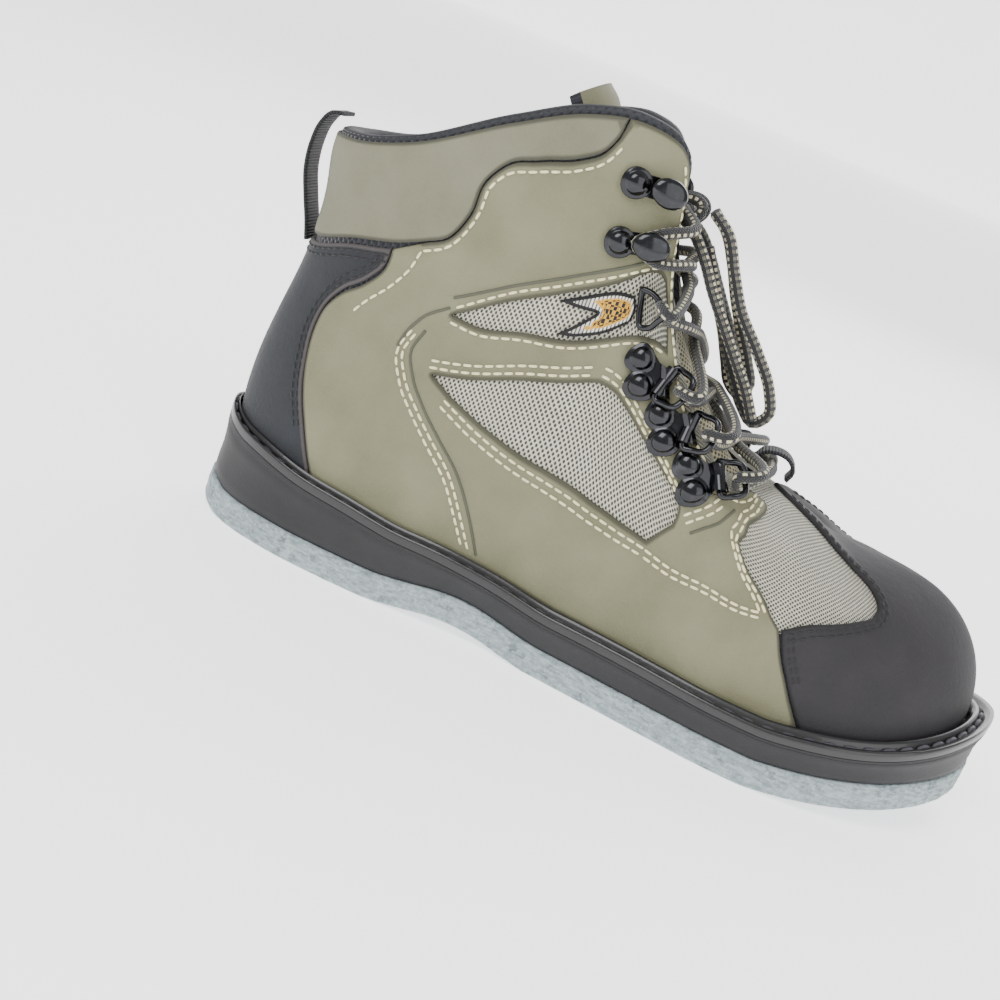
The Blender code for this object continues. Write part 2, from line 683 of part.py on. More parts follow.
# The olive quarter, with its windows onto the mesh
QUARTER_BACK = (
    (0.178, 0.016),
    (0.155, 0.150),
    (0.139, 0.248),
    (0.130, 0.328),
    (0.125, 0.426),
    (0.128, 0.494),
    (0.142, 0.548),
    (0.166, 0.592),
    (0.182, 0.640),
    (0.184, 0.694),
)
QUARTER_TOP = tuple((station + 0.008, level - 0.018) for station, level in CUFF_SEAM[1:-1])
QUARTER_FRONT = (
    (0.366, 0.960),
    (0.404, 0.960),
    (0.426, 0.950),
    (0.439, 0.925),
    (0.456, 0.862),
    (0.471, 0.800),
    (0.495, 0.765),
    (0.515, 0.730),
    (0.534, 0.675),
    (0.566, 0.655),
    (0.608, 0.680),
    (0.636, 0.760),
    (0.655, 0.860),
)
QUARTER_NOSE = (
    (0.655, 0.860),
    (0.668, 0.790),
    (0.655, 0.700),
    (0.642, 0.640),
    (0.636, 0.580),
    (0.628, 0.530),
    (0.634, 0.470),
    (0.652, 0.405),
    (0.664, 0.345),
)
QUARTER_END = ((0.664, 0.310), (0.672, 0.236), (0.685, 0.160), (0.714, 0.016))
MESH_WINDOW = (
    ((0.258, 0.392), (0.300, 0.401), (0.343, 0.419), (0.384, 0.431), (0.412, 0.446)),
    ((0.412, 0.446), (0.440, 0.440), (0.481, 0.430), (0.518, 0.425), (0.548, 0.400), (0.545, 0.350)),
    ((0.545, 0.350), (0.521, 0.262)),
    ((0.521, 0.262), (0.475, 0.246), (0.436, 0.243), (0.380, 0.263), (0.326, 0.306), (0.285, 0.352)),
    ((0.285, 0.352), (0.258, 0.392)),
)
STRAP_WINDOW = (
    ((0.256, 0.536), (0.291, 0.516), (0.327, 0.519), (0.379, 0.519), (0.430, 0.562), (0.492, 0.660)),
    ((0.492, 0.660), (0.478, 0.710), (0.455, 0.735)),
    ((0.455, 0.735), (0.420, 0.690), (0.397, 0.650), (0.353, 0.610), (0.303, 0.578), (0.256, 0.536)),
)


def make_overlays():
    front = run_line(COUNTER_FRONT, SEAM_STEP)
    heel = COUNTER_FRONT[0][0]
    rows = [run_line([(-heel, OVERLAY_FOOT), (heel, OVERLAY_FOOT)], LONG_STEP)[:-1], front[:-1]]
    rows += [run_line(COUNTER_TOP, LONG_STEP)[:-1], np.array(mirrored(front))[:-1]]
    overlay("heel_counter", np.vstack(rows), [], HEM_STEP, "heel")

    seam = run_line(CUFF_SEAM, FINE_STEP)
    brim = 0.985
    top = run_line([(CUFF_SEAM[-1][0], brim), (-CUFF_SEAM[-1][0], brim)], LONG_STEP)
    foot = run_line(CUFF_FOOT, LONG_STEP)
    rows = [foot[:-1], seam[:-1], top[:-1], np.array(mirrored(seam))[:-1]]
    overlay("collar_cuff", np.vstack(rows), [], CUFF_FILL, "nubuck")

    cap = [run_line(TOE_CAP_BACK, SEAM_STEP)[:-1], run_line(TOE_CAP_TOP, SEAM_STEP)[:-1]]
    cap += [run_line([(0.700, 0.930), (0.697, 1.0)], CAP_STEP)[:-1]]
    cap += [run_line([(0.697, 1.0), (1.0, 1.0)], HEM_STEP)[:-1]]
    cap += [run_line([(1.0, 1.0), (1.0, OVERLAY_FOOT)], HEM_STEP)[:-1]]
    cap += [run_line([(1.0, OVERLAY_FOOT), (TOE_CAP_BACK[0][0], OVERLAY_FOOT)], LONG_STEP)[:-1]]
    corners, faces = fill(np.vstack(cap), [], TOE_FILL)
    outside = lambda station, level: 0 * station
    within = lambda station, level: 0 * station - OVERLAY
    join_halves("toe_cap", corners, faces, (outside, within), "toe")

    for side in SIDES:
        bottom = run_line([QUARTER_END[-1], QUARTER_BACK[0]], HEM_STEP)
        edges = [QUARTER_BACK, QUARTER_TOP, QUARTER_FRONT, QUARTER_NOSE, QUARTER_END]
        loop = [run_line(edge, SEAM_STEP) for edge in edges]
        loop = np.vstack([*loop, bottom[1:-1]])
        holes = [closed_line(window, SEAM_STEP) for window in (MESH_WINDOW, STRAP_WINDOW)]
        apart = np.r_[True, np.hypot(*(np.diff(loop, axis=0) * (SIDE_REACH, WALL_REACH)).T) > 1 * MM]
        overlay("quarter_" + side, loop[apart], holes, PANEL_FILL, "nubuck", side=side)


# Tongue: along and up its middle line as shares of LENGTH and COLLAR_HEIGHT, half width as a share of
# THROAT_WIDTH, shift to the medial side as a share of BALL_WIDTH, and drop of its edges and thickness as
# shares of TONGUE_PAD
TONGUE = (
    # along, up, half, mid, drop, thick
    (0.662, 0.420, 0.30, 0.033, 0.75, 0.30),
    (0.637, 0.431, 0.35, 0.030, 1.10, 0.40),
    (0.599, 0.466, 0.42, 0.024, 1.55, 0.45),
    (0.560, 0.517, 0.46, 0.014, 1.90, 0.50),
    (0.510, 0.598, 0.48, 0.006, 1.95, 0.55),
    (0.465, 0.681, 0.49, 0.000, 1.80, 0.60),
    (0.433, 0.759, 0.50, -0.002, 1.70, 0.75),
    (0.401, 0.839, 0.50, 0.000, 1.60, 0.90),
    (0.360, 0.912, 0.51, 0.000, 1.50, 1.00),
    (0.318, 0.980, 0.55, 0.000, 1.30, 1.00),
    (0.290, 1.025, 0.54, 0.000, 1.15, 0.90),
)


def make_tongue():
    across = np.linspace(-1, 1, 9)
    rows = np.array(TONGUE)
    middle = rows[:, :2] * (LENGTH, COLLAR_HEIGHT)
    along = np.gradient(middle, axis=0)
    along /= np.linalg.norm(along, axis=1, keepdims=True)
    normal = np.column_stack([along[:, 1], -along[:, 0]])
    normal *= np.sign(normal[:, 1:2] + normal[:, :1])
    outer, inner = [], []
    for (x, z), n, (half, mid, drop, thick) in zip(middle, normal, rows[:, 2:]):
        side = mid * BALL_WIDTH + across * half * THROAT_WIDTH
        sunk = drop * TONGUE_PAD * across**2
        thin = thick * TONGUE_PAD * (1 - 0.45 * across**4)
        for y, s, t in zip(side, sunk, thin):
            outer.append((x - n[0] * s, y, z - n[1] * s))
            inner.append((x - n[0] * (s + t), y, z - n[1] * (s + t)))
    w = len(across)
    faces = [(r * w + c, r * w + c + 1, (r + 1) * w + c + 1, (r + 1) * w + c)
             for r in range(len(rows) - 1) for c in range(w - 1)]
    points, solid = thicken(np.array(outer), np.array(inner), faces)
    add_solid("tongue", points, solid, "mesh")


# Hardware


def surface_frame(side, spot, toward):
    """A frame on the upper at a spot of station and level: its point, and unit vectors along the way to a
    second spot, across it and outwards, with how station and level change along the first two."""
    step = 0.006
    spot, toward = np.array(spot), np.array(toward)
    at = lambda station, level: surface(side, station, level)
    here = at(*spot)
    by_station = (at(spot[0] + step, spot[1]) - at(spot[0] - step, spot[1])) / (2 * step)
    by_level = (at(spot[0], spot[1] + step) - at(spot[0], spot[1] - step)) / (2 * step)
    out = surface(side, *spot, 1.0) - here
    ahead = at(*toward) - here
    ahead -= out * (ahead @ out)
    ahead /= np.linalg.norm(ahead)
    across = np.cross(out, ahead)
    grid, wanted = np.stack([by_station, by_level], axis=1), np.stack([ahead, across], axis=1)
    return here, ahead, across, out, np.linalg.lstsq(grid, wanted, rcond=None)[0]


def draped(side, spot, frame, ahead, across, lift):
    """Points of the upper at distances ahead and across from a spot, lifted."""
    change = frame[4] @ np.stack([ahead, across])
    return surface(side, spot[0] + change[0], spot[1] + change[1], lift)


def ring_of(count, radius, middle=(0, 0), stretch=1.0):
    turn = np.linspace(0, 2 * math.pi, count, endpoint=False)
    return np.stack([middle[0] + radius * stretch * np.cos(turn), middle[1] + radius * np.sin(turn)], axis=1)


def relief(outline, holes, inner):
    """Faces over flat points: an outline, holes and loose inner points."""
    loops = [outline, *holes]
    flat = np.vstack([*loops, *inner])
    edges, start = [], 0
    for loop in loops:
        edges += [(start + k, start + (k + 1) % len(loop)) for k in range(len(loop))]
        start += len(loop)
    made = delaunay_2d_cdt([Vector(p) for p in flat / MM], edges, [], 0, 1e-6)
    corners = np.array([tuple(v) for v in made[0]]) * MM
    middles = np.array([corners[list(f)].mean(axis=0) for f in made[2]])
    keep = inside(middles, outline)
    for hole in holes:
        keep &= ~inside(middles, hole)
    return corners, [tuple(f) for f, k in zip(made[2], keep) if k]


def sweep(path, radius, sides=6, closed=False):
    """A tube round a path: points and faces."""
    path = np.asarray(path, float)
    along = np.roll(path, -1, axis=0) - np.roll(path, 1, axis=0) if closed else np.gradient(path, axis=0)
    along /= np.linalg.norm(along, axis=1, keepdims=True)
    start = np.cross(along[0], (0.3, 0.2, 0.93))
    normals = [start / np.linalg.norm(start)]
    for t in along[1:]:
        n = normals[-1] - t * (normals[-1] @ t)
        normals.append(n / np.linalg.norm(n))
    turn = np.linspace(0, 2 * math.pi, sides, endpoint=False)
    points = []
    for p, t, n in zip(path, along, normals):
        b = np.cross(t, n)
        points.extend(p + radius * (math.cos(a) * n + math.sin(a) * b) for a in turn)
    rows = len(path)
    faces = []
    for r in range(rows if closed else rows - 1):
        for k in range(sides):
            n, s = (k + 1) % sides, (r + 1) % rows
            faces.append((r * sides + k, r * sides + n, s * sides + n, s * sides + k))
    if not closed:
        faces.append(tuple(range(sides - 1, -1, -1)))
        faces.append(tuple(range((rows - 1) * sides, rows * sides)))
    return np.array(points), faces


def smooth_path(rows, spacing):
    """Points at an even spacing along a smooth curve through rows of coordinates."""
    rows = np.array(rows, float)
    run = np.r_[0, np.cumsum(np.linalg.norm(np.diff(rows, axis=0), axis=1))]
    fine = np.linspace(0, run[-1], 20 * len(rows))
    dense = np.stack([through(run, rows[:, c])(fine) for c in range(3)], axis=1)
    walked = np.r_[0, np.cumsum(np.linalg.norm(np.diff(dense, axis=0), axis=1))]
    share = np.linspace(0, walked[-1], max(2, int(round(walked[-1] / spacing)) + 1))
    return np.stack([np.interp(share, walked, dense[:, c]) for c in range(3)], axis=1)


# Places on the upper as station and level, first the rivets and then what they point to
PLATES = (
    # rivets, barrel
    ((0.457, 0.525), (0.506, 0.642)),
    ((0.508, 0.505), (0.551, 0.645)),
    ((0.557, 0.503), (0.604, 0.700)),
)
HOOKS = (
    # rivet, head
    ((0.380, 0.862), (0.402, 0.870)),
    ((0.384, 0.734), (0.407, 0.747)),
)
LOBE = 0.62 * RIVET  # radius of a plate's lobe round its rivet


def plate_outline():
    """Outline of a lace plate, as rows of ahead, across and height: two lobes, a neck and the rolled barrel."""
    half = BARREL / 2
    roll = WIRE
    rows = [
        (BARREL_REACH + roll, half, 0.4 * PLATE),
        (BARREL_REACH + 0.7 * roll, half, 1.7 * roll),
        (BARREL_REACH - 0.1 * roll, half, 2.1 * roll),
        (BARREL_REACH - 0.8 * roll, half, 1.7 * roll),
        (BARREL_REACH - roll, half, PLATE),
    ]
    for turn in np.radians((50, 110, 170)):
        rows.append((LOBE * math.cos(turn), RIVET_PITCH / 2 + LOBE * math.sin(turn), PLATE))
    back = [(a, -b, h) for a, b, h in rows[::-1]]
    return np.array(rows + [(-0.25 * LOBE, 0, PLATE)] + back)


def make_plate(name, side, rivets, barrel):
    frame = surface_frame(side, rivets, barrel)
    outline = plate_outline()
    inner, heights = [], list(outline[:, 2])
    for across in (-RIVET_PITCH / 2, RIVET_PITCH / 2):
        for radius, high in ((RIVET / 2, 1.0), (0.38 * RIVET, 1.9)):
            inner.append(ring_of(7, radius, (0, across)))
            heights += [high * PLATE] * 7
        inner.append(np.array([[0, across]]))
        heights.append(2.5 * PLATE)
    corners, faces = relief(outline[:, :2], [], inner)
    top = draped(side, rivets, frame, corners[:, 0], corners[:, 1], HARD_SEAT + np.array(heights))
    count = len(outline)
    base = draped(side, rivets, frame, outline[:, 0], outline[:, 1], np.full(count, HARD_SEAT))
    points = np.vstack([top, base])
    total = len(top)
    faces = list(faces)
    faces += [((k + 1) % count, k, total + k, total + (k + 1) % count) for k in range(count)]
    _, under = relief(outline[:, :2], [], [])
    faces += [tuple(total + i for i in reversed(f)) for f in under]
    add_solid(name, points, faces, "metal")


def barrel_frame(side, rivets, barrel):
    """The frame at the middle of a plate's barrel, at the height of its axis."""
    frame = surface_frame(side, rivets, barrel)
    here = draped(side, rivets, frame, np.array([BARREL_REACH]), np.zeros(1), np.array([HARD_SEAT + WIRE]))[0]
    beyond = np.array(barrel) + 0.5 * (np.array(barrel) - rivets)
    _, ahead, across, out, _ = surface_frame(side, barrel, beyond)
    return here, ahead, across, out


BOW_RISE = 2.3
# The D-ring's bow from one end of the barrel: shares of RING_REACH ahead, BARREL across and WIRE out
BOW = (
    # ahead, across, out
    (0.00, 0.53, 0.0),
    (0.06, 0.62, 0.0),
    (0.42, 0.63, 0.8),
    (0.84, 0.42, BOW_RISE),
    (1.00, 0.00, BOW_RISE),
)


def make_ring(name, side, rivets, barrel):
    here, ahead, across, out = barrel_frame(side, rivets, barrel)
    rows = BOW + tuple((a, -b, o) for a, b, o in BOW[-2::-1])
    clear = GAP + BARREL / 2
    path = []
    for a, b, o in rows:
        wide = np.sign(b) * max(abs(b) * BARREL, clear if b else 0)
        path.append(here + ahead * a * RING_REACH + across * wide + out * o * WIRE)
    add_solid(name, *sweep(path, WIRE / 2), "metal")
    return here + ahead * RING_REACH + out * BOW_RISE * WIRE, ahead, out


# A hook's head above its stem: radius and shift as shares of RIVET, height as a share of HOOK_HEIGHT
HOOK_HEAD = (
    # radius, height, stretch, shift
    (0.28, 0.58, 1.00, 0.00),
    (0.50, 0.66, 1.25, 0.04),
    (0.56, 0.84, 1.25, 0.05),
    (0.34, 1.00, 1.30, 0.08),
)


def make_hook(name, side, rivet, head):
    """A speed hook: a riveted foot with a head on a stem, as one solid."""
    frame = surface_frame(side, rivet, head)
    half = 0.6 * RIVET
    round_rivet, round_stem = np.radians(range(50, 311, 52)), np.radians(range(-120, 121, 48))
    left = [(half * math.cos(t), half * math.sin(t)) for t in round_rivet]
    right = [(HOOK_REACH + 0.9 * half * math.cos(t), 0.9 * half * math.sin(t)) for t in round_stem]
    outline = np.array(left + right)
    stem = ring_of(8, 0.26 * RIVET, (HOOK_REACH, 0))
    inner, heights = [], [PLATE] * (len(outline) + 8)
    for radius, high in ((0.52 * RIVET, 1.0), (0.42 * RIVET, 2.0)):
        inner.append(ring_of(8, radius))
        heights += [high * PLATE] * 8
    inner.append(np.zeros((1, 2)))
    heights.append(2.7 * PLATE)
    corners, faces = relief(outline, [stem], inner)
    points = list(draped(side, rivet, frame, corners[:, 0], corners[:, 1], HARD_SEAT + np.array(heights)))
    last = [len(outline) + k for k in range(8)]
    spot = draped(side, rivet, frame, np.array([HOOK_REACH]), np.zeros(1), np.array([HARD_SEAT]))[0]
    _, ahead, across, out, _ = surface_frame(side, head, np.array(head) + 0.5 * (np.array(head) - rivet))
    for radius, high, stretch, shift in HOOK_HEAD:
        ring = ring_of(8, radius * RIVET, (shift * RIVET, 0), stretch)
        start = len(points)
        points.extend(spot + a * ahead + b * across + high * HOOK_HEIGHT * out for a, b in ring)
        faces = list(faces) + [(last[k], last[(k + 1) % 8], start + (k + 1) % 8, start + k) for k in range(8)]
        last = [start + k for k in range(8)]
    faces.append(tuple(last))
    count, total = len(outline), len(points)
    points.extend(draped(side, rivet, frame, outline[:, 0], outline[:, 1], np.full(count, HARD_SEAT)))
    faces += [((k + 1) % count, k, total + k, total + (k + 1) % count) for k in range(count)]
    _, under = relief(outline, [], [])
    faces += [tuple(total + i for i in reversed(f)) for f in under]
    add_solid(name, np.array(points), faces, "metal")
    reach = 0.75 * RIVET + GAP
    return spot + ahead * reach + out * 0.55 * HOOK_HEIGHT, across * np.sign(across[2])


# The webbing strap: a V in its window, as rows of station and level, and the ring that it holds
STRAP_V = (
    ((0.352, 0.596), (0.372, 0.611), (0.400, 0.632), (0.416, 0.634)),
    ((0.416, 0.634), (0.422, 0.600), (0.419, 0.576)),
    ((0.419, 0.576), (0.397, 0.540), (0.376, 0.526)),
    ((0.376, 0.526), (0.360, 0.526)),
    ((0.360, 0.526), (0.375, 0.552), (0.388, 0.581)),
    ((0.388, 0.581), (0.366, 0.588), (0.352, 0.596)),
)
STRAP_RING = (
    # station, level, lift in shares of HOOK_HEIGHT
    (0.420, 0.655, 0.00),
    (0.431, 0.660, 0.18),
    (0.446, 0.668, 0.50),
    (0.463, 0.672, 0.95),
    (0.455, 0.637, 0.72),
    (0.444, 0.600, 0.35),
    (0.433, 0.585, 0.18),
    (0.428, 0.600, 0.08),
    (0.424, 0.628, 0.00),
)
RING_TIP = 3  # the row that the lace pulls
RING_FOOT = 8


def make_strap(side):
    outline = closed_line(STRAP_V, STRAP_STEP)
    corners, faces = fill(outline, [], PANEL_FILL)
    outer, inner = (on_wall(corners, lift, side) for lift in (STRAP - OVERLAY, -OVERLAY))
    points, solid = thicken(outer, inner, faces)
    add_solid("web_strap_" + side, points, solid, "webbing")
    rows = np.array(STRAP_RING)
    path = surface(side, rows[:, 0], rows[:, 1], 0.5 * WIRE + GAP - OVERLAY + rows[:, 2] * HOOK_HEIGHT)
    add_solid("web_ring_" + side, *sweep(path, WIRE / 2, closed=True), "metal")
    tip, foot = STRAP_RING[RING_TIP], STRAP_RING[RING_FOOT]
    _, ahead, _, out, _ = surface_frame(side, tip[:2], (2 * tip[0] - foot[0], tip[1] + 0.05))
    return path[RING_TIP], ahead, out


# Pull loop: its middle line behind the heel seam, as shares of LENGTH and of BACK_HEIGHT
PULL_LOOP = (
    # along, up
    (0.0215, 0.715),
    (0.0140, 0.760),
    (0.0030, 0.815),
    (-0.0080, 0.880),
    (-0.0110, 0.940),
    (-0.0080, 0.990),
    (0.0010, 1.022),
    (0.0150, 1.028),
)
TOE_LOOP_MIDDLE = 0.033 * BALL_WIDTH
TOE_BAR = (0.635, 1.050)  # where the lowest bar of the lace passes the toe loop, in the same shares
# Toe loop: its middle line over the lowest bar of the lace, as shares of LENGTH and INSTEP_HEIGHT
TOE_LOOP = (
    # along, up
    (0.657, 1.018),
    (0.661, 1.060),
    (0.651, 1.100),
    (0.635, 1.108),
    (0.620, 1.090),
    (0.614, 1.055),
    (0.606, 1.032),
)


def make_band(name, rows, height, middle, width, thickness):
    """A flat band of webbing along a line in the boot's middle plane."""
    line = smooth_path([(a * LENGTH, middle, u * height) for a, u in rows], STRAP_STEP)
    along = np.gradient(line, axis=0)
    along /= np.linalg.norm(along, axis=1, keepdims=True)
    out = np.cross(along, (0, 1, 0)) * thickness / 2
    half = np.array([0, width / 2, 0])
    outer = np.vstack([line + out - half, line + out + half])
    inner = np.vstack([line - out - half, line - out + half])
    count = len(line)
    faces = [(k, k + 1, count + k + 1, count + k) for k in range(count - 1)]
    points, solid = thicken(outer, inner, faces)
    add_solid(name, points, solid, "black_webbing")


# Laces


def over_tongue(point, lift):
    """The point of the tongue's middle line nearest to a point, lifted off it."""
    rows = np.array(TONGUE)
    middle = [(a * LENGTH, m * BALL_WIDTH, u * COLLAR_HEIGHT) for a, u, _, m in rows[:, :4]]
    line = smooth_path(middle, 2 * MM)
    near = np.argmin(np.hypot(line[:, 0] - point[0], line[:, 2] - point[2]))
    near = min(max(near, 1), len(line) - 2)
    along = line[near + 1] - line[near - 1]
    out = np.cross((0, 1, 0), along)
    return line[near] + out / np.linalg.norm(out) * lift * np.sign(out[2])


def at_bow(place, over, middle):
    """The first two points of a strand that starts over or under a ring's bow and runs to the middle."""
    point, _, out = place
    start = point + out * (WIRE / 2 + LACE / 2 + BOW_ROOM) * (1 if over else -1)
    way = middle - start
    way -= out * (way @ out)
    return [start, start + way / np.linalg.norm(way) * 1.4 * LACE]


def at_hook(place, above):
    """The first point of a strand that starts beside a hook's head, on its upper or lower side."""
    point, across = place
    return [point + across * (0.5 * LACE + GAP) * (1 if above else -1)]


def past_edge(side, start, middle):
    """Where a strand from start to middle passes over the eyelet edge."""
    stations = np.linspace(THROAT_TOP, 0.64, 60)
    edge = surface(side, stations, np.full(60, 0.94), LACE / 2 + EDGE_ROOM)
    way = (middle - start) / np.linalg.norm(middle - start)
    off = edge - start - np.outer((edge - start) @ way, way)
    return edge[np.argmin(np.linalg.norm(off, axis=1))]


def lace_strand(name, rows):
    points, faces = sweep(smooth_path(rows, 1.8 * LACE), LACE / 2, 6)
    return add_solid(name, points, faces, "lace")


def make_cross(name, low, high):
    """Two strands that cross over the tongue, each given by its first points at both ends, as one solid."""
    centre = sum(ends[0] for ends in (*low, *high)) / 4
    strands = []
    for turn, (first, second) in enumerate(((0, 1), (1, 0))):
        lift = LACE / 2 + CROSS_SEAT + (0.55 * LACE if turn else 0)
        strands.append(lace_strand(name, [*low[first], over_tongue(centre, lift), *high[second][::-1]]))
    made, cutter = strands
    cutter.name = name + "_second"
    cutter.hide_render = True
    cutter.display_type = "WIRE"
    union = made.modifiers.new("joined", "BOOLEAN")
    union.operation = "UNION"
    union.object = cutter


def make_knot():
    """The bow's knot, a lump on the tongue."""
    work = bmesh.new()
    bmesh.ops.create_icosphere(work, subdivisions=2, radius=1)
    out, up = KNOT_OUT, np.array([-KNOT_OUT[2], 0, KNOT_OUT[0]])
    shape = np.array([v.co for v in work.verts])
    axes = np.stack([out * KNOT_DEPTH, np.array([0, KNOT_ACROSS, 0]), up * KNOT_UP])
    points = KNOT + shape @ axes
    faces = [[v.index for v in f.verts] for f in work.faces]
    work.free()
    add_solid("lace_knot", points, faces, "lace")


def make_cord(name, rows):
    """A free stretch of the lace, through points in millimetres from the heel's rear edge."""
    line = smooth_path(np.array(rows) * MM - (HEEL_REST, 0, 0), 3 * LACE)
    data = bpy.data.curves.new(name, "CURVE")
    data.dimensions = "3D"
    data.bevel_depth = LACE / 2
    data.bevel_resolution = 2
    data.use_fill_caps = True
    spline = data.splines.new("POLY")
    spline.points.add(len(line) - 1)
    for point, place in zip(spline.points, line):
        point.co = (*place, 1)
    data.materials.append(MATERIALS["lace"])
    made = bpy.data.objects.new(name, data)
    bpy.context.scene.collection.objects.link(made)


# Free stretches of the lace, as points in millimetres from the heel's rear edge
CORDS = {
    "lace_loop_lateral": (
        (143.5, -5.5, 176.0),
        (151, -8, 171),
        (158, -9, 160),
        (166, -10, 148),
        (177, -10, 137),
        (187, -9, 125),
        (190, -8, 117),
        (186, -7, 112),
        (180, -6, 116),
        (174, -5, 123),
        (167, -4, 132),
        (160, -3.5, 143),
        (152, -3, 155),
        (146, -2.8, 164),
    ),
    "lace_loop_medial": (
        (143, 4.5, 176),
        (150, 7, 170),
        (156, 8.5, 161),
        (162, 10, 150),
        (169, 11, 139),
        (176, 11, 129),
        (180, 9, 121),
        (178, 6.5, 117.5),
        (173, 4.5, 120),
        (168, 3, 128),
        (163, 2.5, 137),
        (157, 2, 146),
        (151, 2, 155),
        (146, 2.2, 162),
    ),
    "lace_end_lateral": (
        (136, -9.5, 169),
        (140, -14, 167),
        (147, -16, 160),
        (154, -16, 151),
        (162, -15.5, 142),
        (170, -15, 133),
        (178, -14, 124),
        (185, -13, 114),
    ),
    "lace_end_medial": (
        (136, 9.5, 169),
        (140, 14, 167),
        (147, 17, 160),
        (154, 18, 151),
        (161, 19, 142),
        (168, 19, 133),
        (173, 19, 125),
    ),
}

make_sole()
make_welt()
make_insole()
make_upper()
make_overlays()
make_tongue()
make_band("pull_loop", PULL_LOOP, BACK_HEIGHT, 0, PULL_WIDTH, STRAP)
make_band("toe_loop", TOE_LOOP, INSTEP_HEIGHT, TOE_LOOP_MIDDLE, TOE_LOOP_WIDTH, STRAP)
places = {}
for side in SIDES:
    for number, (rivets, barrel) in enumerate(PLATES, start=1):
        make_plate(f"lace_plate_{side}_{number}", side, rivets, barrel)
        places[side, number] = make_ring(f"lace_ring_{side}_{number}", side, rivets, barrel)
    for level_name, (rivet, head) in zip(("upper", "lower"), HOOKS):
        places[side, level_name] = make_hook(f"lace_hook_{side}_{level_name}", side, rivet, head)
    places[side, "strap"] = make_strap(side)
low_bar = np.array([TOE_BAR[0] * LENGTH, TOE_LOOP_MIDDLE, TOE_BAR[1] * INSTEP_HEIGHT])
bar = [at_bow(places[side, 3], False, low_bar) for side in SIDES]
beside = np.array([0, TOE_LOOP_WIDTH, 0])
lace_strand("lace_cross_1", [*bar[0], low_bar - beside, low_bar + beside, *bar[1][::-1]])
for number, (low, high) in enumerate(((3, 2), (2, 1), (1, "strap"), ("strap", "lower")), start=2):
    middle = sum(places[side, key][0] for side in SIDES for key in (low, high)) / 4
    starts = [at_bow(places[side, low], True, middle) for side in SIDES]
    if high == "lower":
        ends = [at_hook(places[side, high], above=False) for side in SIDES]
    else:
        ends = [at_bow(places[side, high], False, middle) for side in SIDES]
    for side, start, end in zip(SIDES, starts, ends):
        if low == "strap":
            start.append(past_edge(side, start[0], middle))
        if high in ("strap", "lower"):
            end.append(past_edge(side, end[0], middle))
    make_cross(f"lace_cross_{number}", starts, ends)
KNOT_OUT = np.array([0.9, 0, 0.43])
KNOT_OUT /= np.linalg.norm(KNOT_OUT)
KNOT = over_tongue(np.array([0.401 * LENGTH, 0, 0.839 * COLLAR_HEIGHT]), KNOT_DEPTH + KNOT_ROOM)
make_knot()
for side, sign in SIDES.items():
    at_knot = KNOT + (0, sign * (KNOT_ACROSS + GAP), 0)
    end = [at_knot, at_knot + (0, sign * LACE, 0)]
    start = at_hook(places[side, "lower"], above=True)[0]
    lace_strand("lace_lead_" + side, [start, past_edge(side, start, at_knot), *end[::-1]])
for name, rows in CORDS.items():
    make_cord(name, rows)
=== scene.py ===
# %% [markdown]
# # A wading boot on its felt sole
# The imported model of the boot is the frame: every piece here sits on it. The boot is a right one,
# seen from its outer side, standing empty on a pale studio floor.

# %% Load the frame
import functools
import math

import bmesh
import bpy
import numpy as np
from mathutils import Matrix, Vector
from mathutils.geometry import delaunay_2d_cdt
from mathutils.kdtree import KDTree


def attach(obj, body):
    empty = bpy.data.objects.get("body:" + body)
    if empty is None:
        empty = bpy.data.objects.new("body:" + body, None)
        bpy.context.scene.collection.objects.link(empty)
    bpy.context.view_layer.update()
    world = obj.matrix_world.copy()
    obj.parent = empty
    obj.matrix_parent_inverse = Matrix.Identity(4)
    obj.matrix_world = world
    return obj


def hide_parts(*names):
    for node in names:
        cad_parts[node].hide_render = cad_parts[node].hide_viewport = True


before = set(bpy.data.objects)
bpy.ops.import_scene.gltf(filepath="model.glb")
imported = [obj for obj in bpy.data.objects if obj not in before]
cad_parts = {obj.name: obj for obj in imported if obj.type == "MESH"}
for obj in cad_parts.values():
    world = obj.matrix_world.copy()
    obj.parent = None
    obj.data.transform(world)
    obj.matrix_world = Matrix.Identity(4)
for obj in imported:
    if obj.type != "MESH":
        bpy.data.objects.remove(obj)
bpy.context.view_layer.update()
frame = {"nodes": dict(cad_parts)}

MM = 0.001
nodes = frame["nodes"]
bpy.ops.object.select_all(action="DESELECT")
print("nodes in the frame:", len(nodes))

# %% [markdown]
# ## The camera
# A product photographer stands about 0.6 m from the boot's outer side, a little above it and towards its
# toe, and tilts the camera, so that the sole runs down to the right. The lens is set so that the boot
# fills the picture.

# %% Camera
CAMERA_PLACE = Vector((0.1121, -0.5813, 0.2151))
CAMERA_TARGET = Vector((0.0657, 0.0, 0.0448))
CAMERA_ROLL = math.radians(22.3)
FOCAL_PIXELS = 1579
PICTURE_PIXELS = 1000
SENSOR = 36

